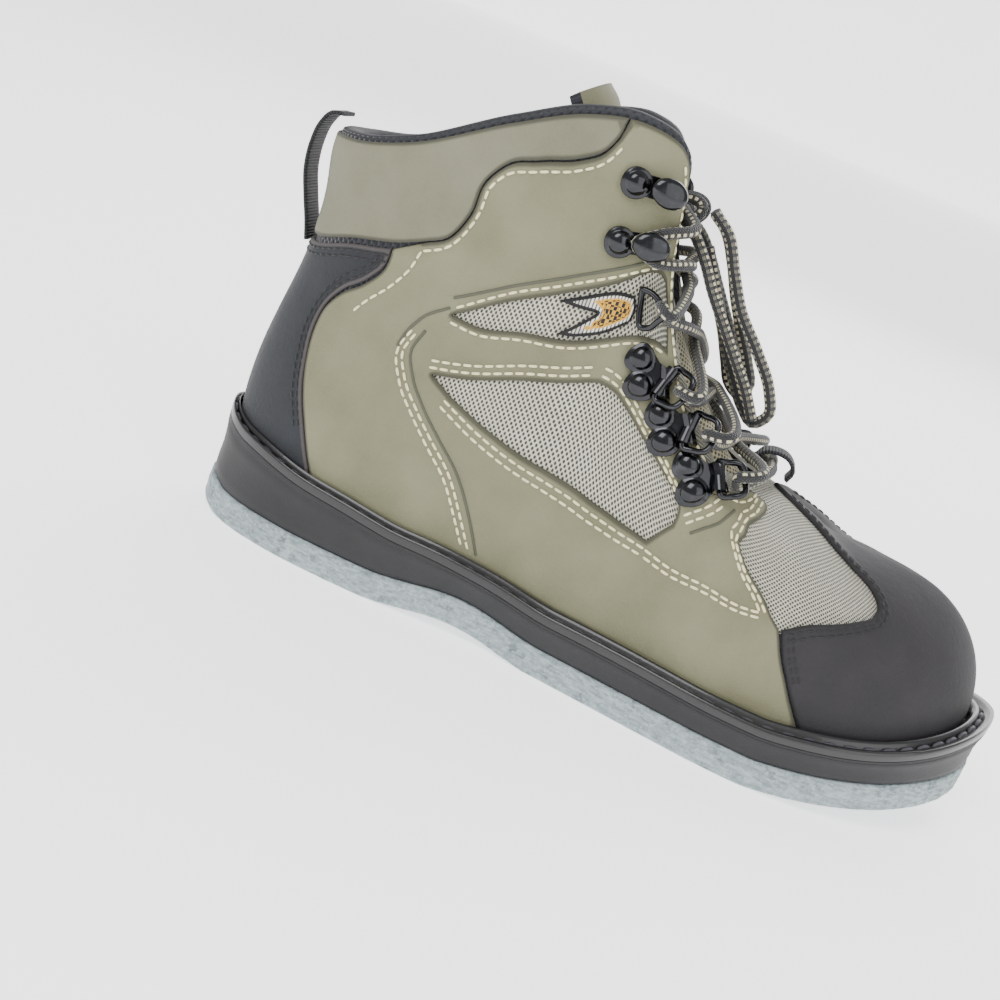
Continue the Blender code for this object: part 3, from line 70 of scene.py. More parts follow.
camera_data = bpy.data.cameras.new("camera")
camera_data.sensor_width = SENSOR
camera_data.lens = FOCAL_PIXELS / PICTURE_PIXELS * SENSOR
camera = bpy.data.objects.new("camera", camera_data)
bpy.context.scene.collection.objects.link(camera)
look = (CAMERA_TARGET - CAMERA_PLACE).normalized()
level_right = look.cross(Vector((0, 0, 1))).normalized()
level_up = level_right.cross(look)
right = level_right * math.cos(CAMERA_ROLL) + level_up * math.sin(CAMERA_ROLL)
up = level_up * math.cos(CAMERA_ROLL) - level_right * math.sin(CAMERA_ROLL)
turn = Matrix((right, up, -look)).transposed()
camera.matrix_world = Matrix.Translation(CAMERA_PLACE) @ turn.to_4x4()
bpy.context.scene.camera = camera
print("camera is", round((CAMERA_TARGET - CAMERA_PLACE).length, 3), "m from the boot")

# %% [markdown]
# ## The shoe's own sizes
# These are the sizes that the model in the frame was built from, so that the fine pieces land exactly on
# it.

# %% Driving sizes
LENGTH = 314 * MM  # outsole, heel to toe
BALL_WIDTH = 115 * MM  # outsole across the ball of the foot
COLLAR_HEIGHT = 199 * MM  # floor to the highest point of the collar
BACK_HEIGHT = 153.5 * MM  # floor to the collar at the back seam
INSTEP_HEIGHT = 94 * MM  # floor to the foot of the throat
TOE_HEIGHT = 83 * MM  # floor to the top of the toe box
THROAT_WIDTH = 42 * MM  # between the two eyelet edges
COLLAR_WIDTH = 76 * MM  # across the collar
INNER_SET_BACK = 5 * MM  # how far the inner eyelet edge sits behind the outer one
INNER_SET_IN = 3 * MM  # how far the inner eyelet edge sits nearer to the middle than the outer one
HEEL_REST = 45 * MM  # from the heel's rear edge to the origin

# Lacing
LACE = 4.2 * MM
WIRE = 2.3 * MM  # of the D-rings and the strap's ring
PLATE = 1.2 * MM
RIVET = 8.4 * MM
RIVET_PITCH = 9.5 * MM
BARREL = 10.6 * MM  # length of the rolled barrel that holds a D-ring
BARREL_REACH = 9.8 * MM  # from the rivets' line to the barrel
RING_REACH = 8.2 * MM  # from the barrel to the middle of the D-ring's bow
HOOK_REACH = 10.5 * MM  # from a hook's rivet to its head
HOOK_HEIGHT = 8.4 * MM
STRAP = 1.5 * MM  # thickness of the webbing
PULL_WIDTH = 16 * MM
TOE_LOOP_WIDTH = 11 * MM
CROSS_SEAT = 1.6 * MM  # room between the tongue and the crossing laces
EDGE_ROOM = 2.4 * MM  # room between the eyelet edge and the lace over it

# Sole
FELT = 10.5 * MM
MIDSOLE_HEEL = 18.5 * MM  # wall of the midsole under the heel, without the welt
MIDSOLE_BALL = 9.5 * MM
ARCH_LIFT = 4 * MM
TOE_SPRING = 15 * MM
HEEL_BEVEL = 4 * MM
FELT_PROUD = 0.6 * MM
WELT = 3.6 * MM
FOOTBED = 4 * MM

# Upper and its overlays
WALL = 2.4 * MM
COLLAR_PAD = 6 * MM
OVERLAY = 1.3 * MM
TONGUE_PAD = 8 * MM
GAP = 0.3 * MM
SEAT = 1.2 * MM  # room under an overlay, as both are faceted
TOE_SEAT = 2.4 * MM  # the same at the tip of the toe, which curves more
HARD_SEAT = 0.6 * MM  # room under the metal pieces
WELT_SEAT = 0.8 * MM  # room between the upper and the bead, as both are faceted

KNOT_DEPTH = 9 * MM  # half of the bow's knot, outwards from the tongue
KNOT_ACROSS = 8 * MM
KNOT_UP = 6.5 * MM
KNOT_ROOM = 0.6 * MM  # between the knot and the tongue

# %% Outline, rim and stations
OUTLINE = (
    # along, lateral, medial, tuck
    (0.000, 0.000, 0.000, 0.004),
    (0.015, 0.130, 0.139, 0.004),
    (0.050, 0.222, 0.235, 0.004),
    (0.120, 0.309, 0.313, 0.006),
    (0.200, 0.345, 0.330, 0.008),
    (0.300, 0.370, 0.304, 0.015),
    (0.400, 0.378, 0.278, 0.017),
    (0.500, 0.409, 0.304, 0.012),
    (0.600, 0.452, 0.391, 0.008),
    (0.680, 0.487, 0.461, 0.006),
    (0.750, 0.500, 0.496, 0.006),
    (0.820, 0.483, 0.500, 0.006),
    (0.890, 0.409, 0.457, 0.006),
    (0.945, 0.287, 0.365, 0.006),
    (0.985, 0.122, 0.209, 0.006),
    (1.000, -0.035, 0.035, 0.006),
)

# Height of the welt's rim above the felt, as a share of the way from the ball's midsole to the heel's
RIM = (
    # along, share
    (0.00, 1.60),
    (0.06, 1.40),
    (0.13, 1.02),
    (0.20, 0.82),
    (0.29, 0.49),
    (0.36, 0.10),
    (0.44, 0.12),
    (0.55, 0.08),
    (0.68, -0.05),
    (0.78, 0.00),
    (0.88, 0.08),
    (0.94, 0.30),
    (1.00, 0.70),
)

HEEL_FLAT = (0.045, 0.245)
BALL_FLAT = (0.475, 0.735)

# Ledge of the welt outside the upper, and the upper itself, at stations along each side of the boot.
# station: share of the side from the back seam to the toe; top_along: share of LENGTH; top_up: share of the
# height named in the next column; half: share of COLLAR_WIDTH or THROAT_WIDTH / 2; mid: shift of the middle
# line to the medial side, in shares of BALL_WIDTH; arch: 0 for a flat wall and 1 for a quarter arch; bellies
# and hollow: shares of BALL_WIDTH
STATIONS = (
    # station, top_along, top_up, height, half, mid, arch, belly_out, belly_in, hollow, ledge
    (0.000, 0.0125, 1.000, "back", 0.000, 0.000, 0.00, 0.013, 0.013, 0.045, 0.030),
    (0.055, 0.0285, 1.003, "back", 0.240, 0.000, 0.00, 0.018, 0.018, 0.045, 0.034),
    (0.110, 0.0700, 1.020, "back", 0.410, 0.000, 0.00, 0.022, 0.022, 0.044, 0.040),
    (0.170, 0.1300, 1.070, "back", 0.490, 0.000, 0.00, 0.026, 0.026, 0.042, 0.044),
    (0.255, 0.2230, 0.920, "collar", 0.505, 0.000, 0.00, 0.026, 0.040, 0.034, 0.048),
    (0.320, 0.2930, 0.980, "collar", 0.480, 0.000, 0.00, 0.030, 0.066, 0.026, 0.052),
    (0.375, 0.3570, 1.000, "collar", 0.425, 0.000, 0.10, 0.030, 0.066, 0.020, 0.056),
    (0.405, 0.3950, 0.988, "collar", 0.370, 0.004, 0.22, 0.028, 0.060, 0.016, 0.056),
    (0.430, 0.4160, 0.955, "collar", 0.325, 0.006, 0.34, 0.026, 0.052, 0.012, 0.058),
    (0.460, 0.4250, 0.884, "collar", 0.300, 0.008, 0.46, 0.024, 0.044, 0.008, 0.060),
    (0.500, 0.4400, 0.780, "collar", 0.300, 0.012, 0.58, 0.022, 0.034, 0.004, 0.060),
    (0.545, 0.4680, 0.672, "collar", 0.300, 0.016, 0.70, 0.020, 0.026, 0.000, 0.062),
    (0.590, 0.5100, 0.570, "collar", 0.300, 0.022, 0.82, 0.018, 0.022, 0.000, 0.064),
    (0.630, 0.5580, 0.494, "collar", 0.275, 0.026, 0.92, 0.016, 0.018, 0.000, 0.066),
    (0.660, 0.6000, 1.000, "instep", 0.195, 0.030, 1.00, 0.016, 0.016, 0.000, 0.070),
    (0.690, 0.6400, 0.995, "instep", 0.000, 0.033, 1.00, 0.014, 0.014, 0.000, 0.072),
    (0.730, 0.6820, 0.955, "instep", 0.000, 0.038, 1.00, 0.012, 0.012, 0.000, 0.076),
    (0.790, 0.7260, 1.022, "toe", 0.000, 0.042, 1.00, 0.010, 0.010, 0.000, 0.080),
    (0.860, 0.7680, 1.006, "toe", 0.000, 0.042, 1.00, 0.008, 0.008, 0.000, 0.084),
    (0.930, 0.8040, 1.000, "toe", 0.000, 0.040, 1.00, 0.006, 0.006, 0.000, 0.084),
    (1.000, 0.8300, 0.992, "toe", 0.000, 0.038, 1.00, 0.004, 0.004, 0.000, 0.082),
)

# %% [markdown]
# ## The last
# A shoe is made over a last. Here the last is a surface with two coordinates: station runs from the heel
# to the toe along each side, and level runs from the sole to the top edge. Every panel and seam is drawn
# in them.

# %% The last
HEIGHTS = {"back": BACK_HEIGHT, "collar": COLLAR_HEIGHT, "instep": INSTEP_HEIGHT, "toe": TOE_HEIGHT}
SIDES = {"lateral": -1, "medial": 1}
SIDE_SAMPLES = 241
BEAD_LEVEL = 0.05  # level up to which the welt's bead hugs the upper
THROAT_TOP = 0.43  # station where the eyelet edge meets the collar
THROAT_SPREAD = 0.06
EYELETS_MIDDLE = 0.50  # station halfway down the eyelet edge
EYELETS_SPREAD = 0.10
EDGE_THIN = 0.45
VAMP_START = 0.685  # station from which both sides meet over the foot


def through(knots, values, flat=False):
    """A smooth curve through values given at rising knots, as a function."""
    knots, values = np.array(knots, float), np.array(values, float)
    step = np.diff(knots)
    slope = np.diff(values) / step
    tangent = np.empty_like(values)
    tangent[1:-1] = (slope[:-1] * step[1:] + slope[1:] * step[:-1]) / (step[:-1] + step[1:])
    tangent[0], tangent[-1] = (0, 0) if flat else (slope[0], slope[-1])

    def at(x):
        x = np.clip(x, knots[0], knots[-1])
        k = np.clip(np.searchsorted(knots, x, side="right") - 1, 0, len(step) - 1)
        h, u = step[k], (x - knots[k]) / step[k]
        start = values[k] * (1 + 2 * u) * (1 - u) ** 2 + tangent[k] * h * u * (1 - u) ** 2
        return start + values[k + 1] * u * u * (3 - 2 * u) + tangent[k + 1] * h * u * u * (u - 1)

    return at


def outline_sides():
    """The sole's rim seen from above, as points along each side from the heel to the toe, with the tuck."""
    rows = [(a * LENGTH, -lat * BALL_WIDTH, tuck * LENGTH) for a, lat, med, tuck in OUTLINE]
    rows += [(a * LENGTH, med * BALL_WIDTH, tuck * LENGTH) for a, lat, med, tuck in OUTLINE[-2:0:-1]]
    loop = np.array(rows)
    count = len(loop)
    wrapped = np.array([loop[k % count] for k in range(-2, count + 3)])
    run = np.r_[0, np.cumsum(np.hypot(*np.diff(wrapped[:, :2], axis=0).T))]
    smooth = [through(run, wrapped[:, c]) for c in range(3)]
    tip = len(OUTLINE) - 1
    sides = {}
    for side, first, last in (("lateral", 2, 2 + tip), ("medial", 2 + count, 2 + tip)):
        at = np.linspace(run[first], run[last], 4 * SIDE_SAMPLES)
        dense = np.stack([f(at) for f in smooth], axis=1)
        walked = np.r_[0, np.cumsum(np.hypot(*np.diff(dense[:, :2], axis=0).T))]
        share = np.linspace(0, walked[-1], SIDE_SAMPLES)
        sides[side] = np.stack([np.interp(share, walked, dense[:, c]) for c in range(3)], axis=1)
    return sides


RIM_SIDES = outline_sides()


def rim_point(side, station, inset=0.0):
    """Points of the rim moved inwards by inset, at stations from 0 at the heel to 1 at the toe."""
    station = np.asarray(station, float)
    line = RIM_SIDES[side]
    share = np.linspace(0, 1, SIDE_SAMPLES)
    point = np.stack([np.interp(station, share, line[:, c]) for c in range(2)], axis=-1)
    along = np.gradient(line[:, :2], axis=0)
    mirrored = along[[0, -1]] * (0, 1)
    along[[0, -1]] = mirrored
    along = np.stack([np.interp(station, share, along[:, c]) for c in range(2)], axis=-1)
    along /= np.linalg.norm(along, axis=-1, keepdims=True)
    outward = np.stack([along[..., 1], -along[..., 0]], axis=-1) * -SIDES[side]
    return point - outward * np.asarray(inset)[..., None], outward


def tuck_at(side, station):
    return np.interp(station, np.linspace(0, 1, SIDE_SAMPLES), RIM_SIDES[side][:, 2])


RIM_SHARE = through([row[0] for row in RIM], [row[1] for row in RIM])


def floor_gap(x):
    """How far the felt's underside is off the floor, x metres from the heel's rear edge."""
    along = np.asarray(x, float) / LENGTH
    rear = np.clip(1 - along / HEEL_FLAT[0], 0, 1)
    arch = np.clip((along - HEEL_FLAT[1]) / (BALL_FLAT[0] - HEEL_FLAT[1]), 0, 1)
    toe = np.clip((along - BALL_FLAT[1]) / (1 - BALL_FLAT[1]), 0, 1)
    return HEEL_BEVEL * rear**1.5 + ARCH_LIFT * np.sin(math.pi * arch) ** 2 + TOE_SPRING * toe**1.25


def platform(x):
    """Height of the midsole's top, which carries the welt, the upper and the insole."""
    thick = MIDSOLE_BALL + RIM_SHARE(np.asarray(x) / LENGTH) * (MIDSOLE_HEEL - MIDSOLE_BALL)
    return floor_gap(x) + FELT + GAP + thick


STATION = np.array([row[0] for row in STATIONS])
COLUMNS = {
    "top_along": through(STATION, [row[1] * LENGTH for row in STATIONS], flat=True),
    "top_up": through(STATION, [row[2] * HEIGHTS[row[3]] for row in STATIONS], flat=True),
    "half": through(STATION, [row[4] for row in STATIONS]),
    "mid": through(STATION, [row[5] * BALL_WIDTH for row in STATIONS], flat=True),
    "arch": through(STATION, [row[6] for row in STATIONS], flat=True),
    "belly_lateral": through(STATION, [row[7] * BALL_WIDTH for row in STATIONS], flat=True),
    "belly_medial": through(STATION, [row[8] * BALL_WIDTH for row in STATIONS], flat=True),
    "hollow": through(STATION, [row[9] * BALL_WIDTH for row in STATIONS], flat=True),
    "ledge": through(STATION, [row[10] * BALL_WIDTH for row in STATIONS], flat=True),
}


def last_point(side, station, level):
    """The upper's outer surface before any lift: station 0 heel to 1 toe, level 0 sole to 1 top edge."""
    col = {name: f(station) for name, f in COLUMNS.items()}
    foot, outward = rim_point(side, station, col["ledge"])
    foot_up = platform(foot[..., 0]) + GAP
    sign = SIDES[side]
    half = np.maximum(col["half"], 0) * COLLAR_WIDTH
    turn = level * math.pi / 2
    keep = (1 - col["arch"]) * (1 - level) + col["arch"] * np.cos(turn)
    rise = (1 - col["arch"]) * level + col["arch"] * np.sin(turn)
    free = np.clip((level - BEAD_LEVEL) / (1 - BEAD_LEVEL), 0, 1)
    belly = col["belly_" + side] * np.sin(math.pi * free**0.65)
    hollow = col["hollow"] * np.sin(math.pi * level**1.45) ** 2
    x = col["top_along"] + (foot[..., 0] - col["top_along"]) * keep + outward[..., 0] * (belly - hollow)
    top_y = col["mid"] + sign * half
    if side == "medial":
        back = INNER_SET_BACK * np.exp(-(((station - THROAT_TOP) / THROAT_SPREAD) ** 2))
        x = x - back * (1 - keep)
        top_y = top_y - INNER_SET_IN * np.exp(-(((station - EYELETS_MIDDLE) / EYELETS_SPREAD) ** 2))
    y = top_y + (foot[..., 1] - top_y) * keep + outward[..., 1] * (belly - hollow)
    z = foot_up + (col["top_up"] - foot_up) * rise
    return np.stack([x, y, z], axis=-1)


def surface(side, station, level, lift=0.0):
    """A point of the upper's outer surface, lifted outwards by lift."""
    station, level = np.broadcast_arrays(np.asarray(station, float), np.asarray(level, float))
    here = last_point(side, station, level)
    step = 0.004
    ahead, behind = np.clip(station + step, 0, 1), np.clip(station - step, 0, 1)
    above, below = np.clip(level + step, 0, 1), np.clip(level - step, 0, 1)
    forward = last_point(side, ahead, level) - last_point(side, behind, level)
    upward = last_point(side, station, above) - last_point(side, station, below)
    normal = np.cross(upward, forward) * SIDES[side]
    normal /= np.linalg.norm(normal, axis=-1, keepdims=True)
    return here + normal * np.asarray(lift)[..., None]

# %% Solids from sheets and rings
def thicken(outer, inner, faces):
    """A closed solid between two sheets that share their faces: points and faces."""
    count = len(outer)
    points = np.vstack([outer, inner])
    solid = [tuple(f) for f in faces] + [tuple(count + i for i in reversed(f)) for f in faces]
    edges = {}
    for f in faces:
        for a, b in zip(f, (*f[1:], f[0])):
            edges[(a, b)] = edges.get((a, b), 0) + 1
    for a, b in edges:
        if (b, a) not in edges:
            solid.append((b, a, count + a, count + b))
    return points, solid


# Sole


def rim_loop(inset, count):
    """The rim moved inwards, as one loop round the boot, with what each point needs to find its pair."""
    shares = 0.5 - 0.5 * np.cos(np.linspace(0, math.pi, count))
    shares = 0.35 * shares + 0.65 * np.linspace(0, 1, count)
    out = rim_point("lateral", shares, inset("lateral", shares))[0]
    back = rim_point("medial", shares, inset("medial", shares))[0]
    return np.vstack([out, back[-2:0:-1]]), count


def slab(rings, count):
    """A solid whose wall runs through rings of points, closed below and above by strips across the sole."""
    total = len(rings[0])
    points = np.vstack(rings)
    faces = []
    for r in range(len(rings) - 1):
        for k in range(total):
            n = (k + 1) % total
            faces.append((r * total + k, r * total + n, (r + 1) * total + n, (r + 1) * total + k))
    for base in (0, (len(rings) - 1) * total):
        for k in range(count - 1):
            near = (base + k, base + k + 1)
            far = (base + (total - k - 1) % total, base + (total - k) % total)
            strip = [near[0], near[1], far[0], far[1]]
            faces.append(tuple(dict.fromkeys(strip)))
    return points, faces


def shell_depth(station):
    """How deep the upper lies under the outer surface of its overlays."""
    return OVERLAY + SEAT + (TOE_SEAT - SEAT) * np.clip((np.asarray(station) - 0.66) / 0.34, 0, 1)


def edge_thin(station, level):
    """Share of their thickness that the leather and the room under it keep along the rolled eyelet edge."""
    along = np.clip((station - 0.40) / 0.05, 0, 1) * np.clip((0.66 - station) / 0.04, 0, 1)
    return 1 - EDGE_THIN * along * np.clip((level - 0.55) / 0.15, 0, 1)


def wall_at(station, level):
    """Thickness of the upper: its wall, and the padding at the collar."""
    collar = np.clip((0.47 - station) / 0.05, 0, 1) * np.clip((level - 0.68) / 0.14, 0, 1)
    return WALL * edge_thin(station, level) + (COLLAR_PAD - WALL) * collar * collar * (3 - 2 * collar)

# %% Lines on the last
SIDE_REACH = 0.365  # rough length of one side, only for spacing points on the surface
WALL_REACH = 0.115


def run_line(rows, spacing):
    """A smooth line through rows of station and level, as evenly spaced rows."""
    rows = np.array(rows, float)
    if len(rows) == 2:
        run = np.array([0, 1.0])
    else:
        run = np.r_[0, np.cumsum(np.hypot(*(np.diff(rows, axis=0) * (SIDE_REACH, WALL_REACH)).T))]
    length = np.hypot(*(np.diff(rows, axis=0) * (SIDE_REACH, WALL_REACH)).T).sum()
    share = np.linspace(0, run[-1], max(2, int(round(length / spacing)) + 1))
    return np.stack([through(run, rows[:, c])(share) for c in range(2)], axis=1)


def closed_line(edges, spacing):
    """One closed outline from edges that meet at corners."""
    return np.vstack([run_line(edge, spacing)[:-1] for edge in edges])


def inside(points, outline):
    """Which points lie inside a closed outline."""
    hit = np.zeros(len(points), bool)
    for (x0, y0), (x1, y1) in zip(outline, np.roll(outline, -1, axis=0)):
        crosses = (y0 > points[:, 1]) != (y1 > points[:, 1])
        where = x0 + (points[:, 1] - y0) * (x1 - x0) / (y1 - y0 if y1 != y0 else 1)
        hit ^= crosses & (points[:, 0] < where)
    return hit


def on_wall(corners, lift, side=None):
    """Surface points for flat corners: with no side, a negative station is on the medial side."""
    station, level = corners[:, 0], corners[:, 1]
    lift = np.broadcast_to(lift, station.shape)
    if side:
        return surface(side, station, level, lift)
    lateral = surface("lateral", np.abs(station), level, lift)
    medial = surface("medial", np.abs(station), level, lift)
    return np.where((station < 0)[:, None], medial, lateral)


def mirrored(edge):
    """The same edge on the medial side, run the other way."""
    return [(-station, level) for station, level in edge[::-1]]


# Edges of the overlays, as rows of station and level on the upper
COUNTER_FRONT = (
    (0.168, 0.016),
    (0.145, 0.150),
    (0.129, 0.248),
    (0.121, 0.328),
    (0.115, 0.426),
    (0.118, 0.499),
    (0.133, 0.559),
    (0.157, 0.604),
    (0.172, 0.650),
    (0.174, 0.694),
)
COUNTER_TOP = (
    (0.174, 0.694),
    (0.127, 0.690),
    (0.063, 0.652),
    (0.000, 0.640),
    (-0.063, 0.652),
    (-0.127, 0.690),
    (-0.174, 0.694),
)
CUFF_SEAM = (
    (0.186, 0.712),
    (0.205, 0.714),
    (0.228, 0.724),
    (0.241, 0.780),
    (0.244, 0.850),
    (0.259, 0.888),
    (0.290, 0.890),
    (0.326, 0.892),
    (0.346, 0.912),
    (0.354, 0.945),
    (0.356, 0.985),
)
CUFF_FOOT = (
    (-0.186, 0.712),
    (-0.127, 0.708),
    (-0.063, 0.672),
    (0.000, 0.660),
    (0.063, 0.672),
    (0.127, 0.708),
    (0.186, 0.712),
)
TOE_CAP_BACK = ((0.724, 0.016), (0.695, 0.160), (0.682, 0.236), (0.675, 0.318))
TOE_CAP_TOP = (
    (0.675, 0.318),
    (0.703, 0.373),
    (0.735, 0.426),
    (0.764, 0.479),
    (0.788, 0.530),
    (0.800, 0.596),
    (0.796, 0.667),
    (0.776, 0.727),
    (0.750, 0.800),
    (0.722, 0.870),
    (0.700, 0.930),
)
OVERLAY_FOOT = 0.016

# The olive quarter, with its windows onto the mesh
QUARTER_BACK = (
    (0.178, 0.016),
    (0.155, 0.150),
    (0.139, 0.248),
    (0.130, 0.328),
    (0.125, 0.426),
    (0.128, 0.494),
    (0.142, 0.548),
    (0.166, 0.592),
    (0.182, 0.640),
    (0.184, 0.694),
)
QUARTER_TOP = tuple((station + 0.008, level - 0.018) for station, level in CUFF_SEAM[1:-1])
QUARTER_FRONT = (
    (0.366, 0.960),
    (0.404, 0.960),
    (0.426, 0.950),
    (0.439, 0.925),
    (0.456, 0.862),
    (0.471, 0.800),
    (0.495, 0.765),
    (0.515, 0.730),
    (0.534, 0.675),
    (0.566, 0.655),
    (0.608, 0.680),
    (0.636, 0.760),
    (0.655, 0.860),
)
QUARTER_NOSE = (
    (0.655, 0.860),
    (0.668, 0.790),
    (0.655, 0.700),
    (0.642, 0.640),
    (0.636, 0.580),
    (0.628, 0.530),
    (0.634, 0.470),
    (0.652, 0.405),
    (0.664, 0.345),
)
QUARTER_END = ((0.664, 0.310), (0.672, 0.236), (0.685, 0.160), (0.714, 0.016))
MESH_WINDOW = (
    ((0.258, 0.392), (0.300, 0.401), (0.343, 0.419), (0.384, 0.431), (0.412, 0.446)),
    ((0.412, 0.446), (0.440, 0.440), (0.481, 0.430), (0.518, 0.425), (0.548, 0.400), (0.545, 0.350)),
    ((0.545, 0.350), (0.521, 0.262)),
    ((0.521, 0.262), (0.475, 0.246), (0.436, 0.243), (0.380, 0.263), (0.326, 0.306), (0.285, 0.352)),
    ((0.285, 0.352), (0.258, 0.392)),
)
STRAP_WINDOW = (
    ((0.256, 0.536), (0.291, 0.516), (0.327, 0.519), (0.379, 0.519), (0.430, 0.562), (0.492, 0.660)),
    ((0.492, 0.660), (0.478, 0.710), (0.455, 0.735)),
    ((0.455, 0.735), (0.420, 0.690), (0.397, 0.650), (0.353, 0.610), (0.303, 0.578), (0.256, 0.536)),
)

# %% Tongue, frames and tubes
TONGUE = (
    # along, up, half, mid, drop, thick
    (0.662, 0.420, 0.30, 0.033, 0.75, 0.30),
    (0.637, 0.431, 0.35, 0.030, 1.10, 0.40),
    (0.599, 0.466, 0.42, 0.024, 1.55, 0.45),
    (0.560, 0.517, 0.46, 0.014, 1.90, 0.50),
    (0.510, 0.598, 0.48, 0.006, 1.95, 0.55),
    (0.465, 0.681, 0.49, 0.000, 1.80, 0.60),
    (0.433, 0.759, 0.50, -0.002, 1.70, 0.75),
    (0.401, 0.839, 0.50, 0.000, 1.60, 0.90),
    (0.360, 0.912, 0.51, 0.000, 1.50, 1.00),
    (0.318, 0.980, 0.55, 0.000, 1.30, 1.00),
    (0.290, 1.025, 0.54, 0.000, 1.15, 0.90),
)


def surface_frame(side, spot, toward):
    """A frame on the upper at a spot of station and level: its point, and unit vectors along the way to a
    second spot, across it and outwards, with how station and level change along the first two."""
    step = 0.006
    spot, toward = np.array(spot), np.array(toward)
    at = lambda station, level: surface(side, station, level)
    here = at(*spot)
    by_station = (at(spot[0] + step, spot[1]) - at(spot[0] - step, spot[1])) / (2 * step)
    by_level = (at(spot[0], spot[1] + step) - at(spot[0], spot[1] - step)) / (2 * step)
    out = surface(side, *spot, 1.0) - here
    ahead = at(*toward) - here
    ahead -= out * (ahead @ out)
    ahead /= np.linalg.norm(ahead)
    across = np.cross(out, ahead)
    grid, wanted = np.stack([by_station, by_level], axis=1), np.stack([ahead, across], axis=1)
    return here, ahead, across, out, np.linalg.lstsq(grid, wanted, rcond=None)[0]


def draped(side, spot, frame, ahead, across, lift):
    """Points of the upper at distances ahead and across from a spot, lifted."""
    change = frame[4] @ np.stack([ahead, across])
    return surface(side, spot[0] + change[0], spot[1] + change[1], lift)


def sweep(path, radius, sides=6, closed=False):
    """A tube round a path: points and faces."""
    path = np.asarray(path, float)
    along = np.roll(path, -1, axis=0) - np.roll(path, 1, axis=0) if closed else np.gradient(path, axis=0)
    along /= np.linalg.norm(along, axis=1, keepdims=True)
    start = np.cross(along[0], (0.3, 0.2, 0.93))
    normals = [start / np.linalg.norm(start)]
    for t in along[1:]:
        n = normals[-1] - t * (normals[-1] @ t)
        normals.append(n / np.linalg.norm(n))
    turn = np.linspace(0, 2 * math.pi, sides, endpoint=False)
    points = []
    for p, t, n in zip(path, along, normals):
        b = np.cross(t, n)
        points.extend(p + radius * (math.cos(a) * n + math.sin(a) * b) for a in turn)
    rows = len(path)
    faces = []
    for r in range(rows if closed else rows - 1):
        for k in range(sides):
            n, s = (k + 1) % sides, (r + 1) % rows
            faces.append((r * sides + k, r * sides + n, s * sides + n, s * sides + k))
    if not closed:
        faces.append(tuple(range(sides - 1, -1, -1)))
        faces.append(tuple(range((rows - 1) * sides, rows * sides)))
    return np.array(points), faces


def smooth_path(rows, spacing):
    """Points at an even spacing along a smooth curve through rows of coordinates."""
    rows = np.array(rows, float)
    run = np.r_[0, np.cumsum(np.linalg.norm(np.diff(rows, axis=0), axis=1))]
    fine = np.linspace(0, run[-1], 20 * len(rows))
    dense = np.stack([through(run, rows[:, c])(fine) for c in range(3)], axis=1)
    walked = np.r_[0, np.cumsum(np.linalg.norm(np.diff(dense, axis=0), axis=1))]
    share = np.linspace(0, walked[-1], max(2, int(round(walked[-1] / spacing)) + 1))
    return np.stack([np.interp(share, walked, dense[:, c]) for c in range(3)], axis=1)


# Places on the upper as station and level, first the rivets and then what they point to
PLATES = (
    # rivets, barrel
    ((0.457, 0.525), (0.506, 0.642)),
    ((0.508, 0.505), (0.551, 0.645)),
    ((0.557, 0.503), (0.604, 0.700)),
)
HOOKS = (
    # rivet, head
    ((0.380, 0.862), (0.402, 0.870)),
    ((0.384, 0.734), (0.407, 0.747)),
)


def barrel_frame(side, rivets, barrel):
    """The frame at the middle of a plate's barrel, at the height of its axis."""
    frame = surface_frame(side, rivets, barrel)
    lift = np.array([HARD_SEAT + WIRE])
    here = draped(side, rivets, frame, np.array([BARREL_REACH]), np.zeros(1), lift)[0]
    beyond = np.array(barrel) + 0.5 * (np.array(barrel) - rivets)
    _, ahead, across, out, _ = surface_frame(side, barrel, beyond)
    return here, ahead, across, out


BOW_RISE = 2.3
# The D-ring's bow from one end of the barrel: shares of RING_REACH ahead, BARREL across and WIRE out
BOW = (
    # ahead, across, out
    (0.00, 0.53, 0.0),
    (0.06, 0.62, 0.0),
    (0.42, 0.63, 0.8),
    (0.84, 0.42, BOW_RISE),
    (1.00, 0.00, BOW_RISE),
)


STRAP_V = (
    ((0.352, 0.596), (0.372, 0.611), (0.400, 0.632), (0.416, 0.634)),
    ((0.416, 0.634), (0.422, 0.600), (0.419, 0.576)),
    ((0.419, 0.576), (0.397, 0.540), (0.376, 0.526)),
    ((0.376, 0.526), (0.360, 0.526)),
    ((0.360, 0.526), (0.375, 0.552), (0.388, 0.581)),
    ((0.388, 0.581), (0.366, 0.588), (0.352, 0.596)),
)
STRAP_RING = (
    # station, level, lift in shares of HOOK_HEIGHT
    (0.420, 0.655, 0.00),
    (0.431, 0.660, 0.18),
    (0.446, 0.668, 0.50),
    (0.463, 0.672, 0.95),
    (0.455, 0.637, 0.72),
    (0.444, 0.600, 0.35),
    (0.433, 0.585, 0.18),
    (0.428, 0.600, 0.08),
    (0.424, 0.628, 0.00),
)
RING_TIP = 3  # the row that the lace pulls
RING_FOOT = 8


PULL_LOOP = (
    # along, up
    (0.0215, 0.715),
    (0.0140, 0.760),
    (0.0030, 0.815),
    (-0.0080, 0.880),
    (-0.0110, 0.940),
    (-0.0080, 0.990),
    (0.0010, 1.022),
    (0.0150, 1.028),
)
TOE_LOOP_MIDDLE = 0.033 * BALL_WIDTH
TOE_BAR = (0.635, 1.050)  # where the lowest bar of the lace passes the toe loop, in the same shares
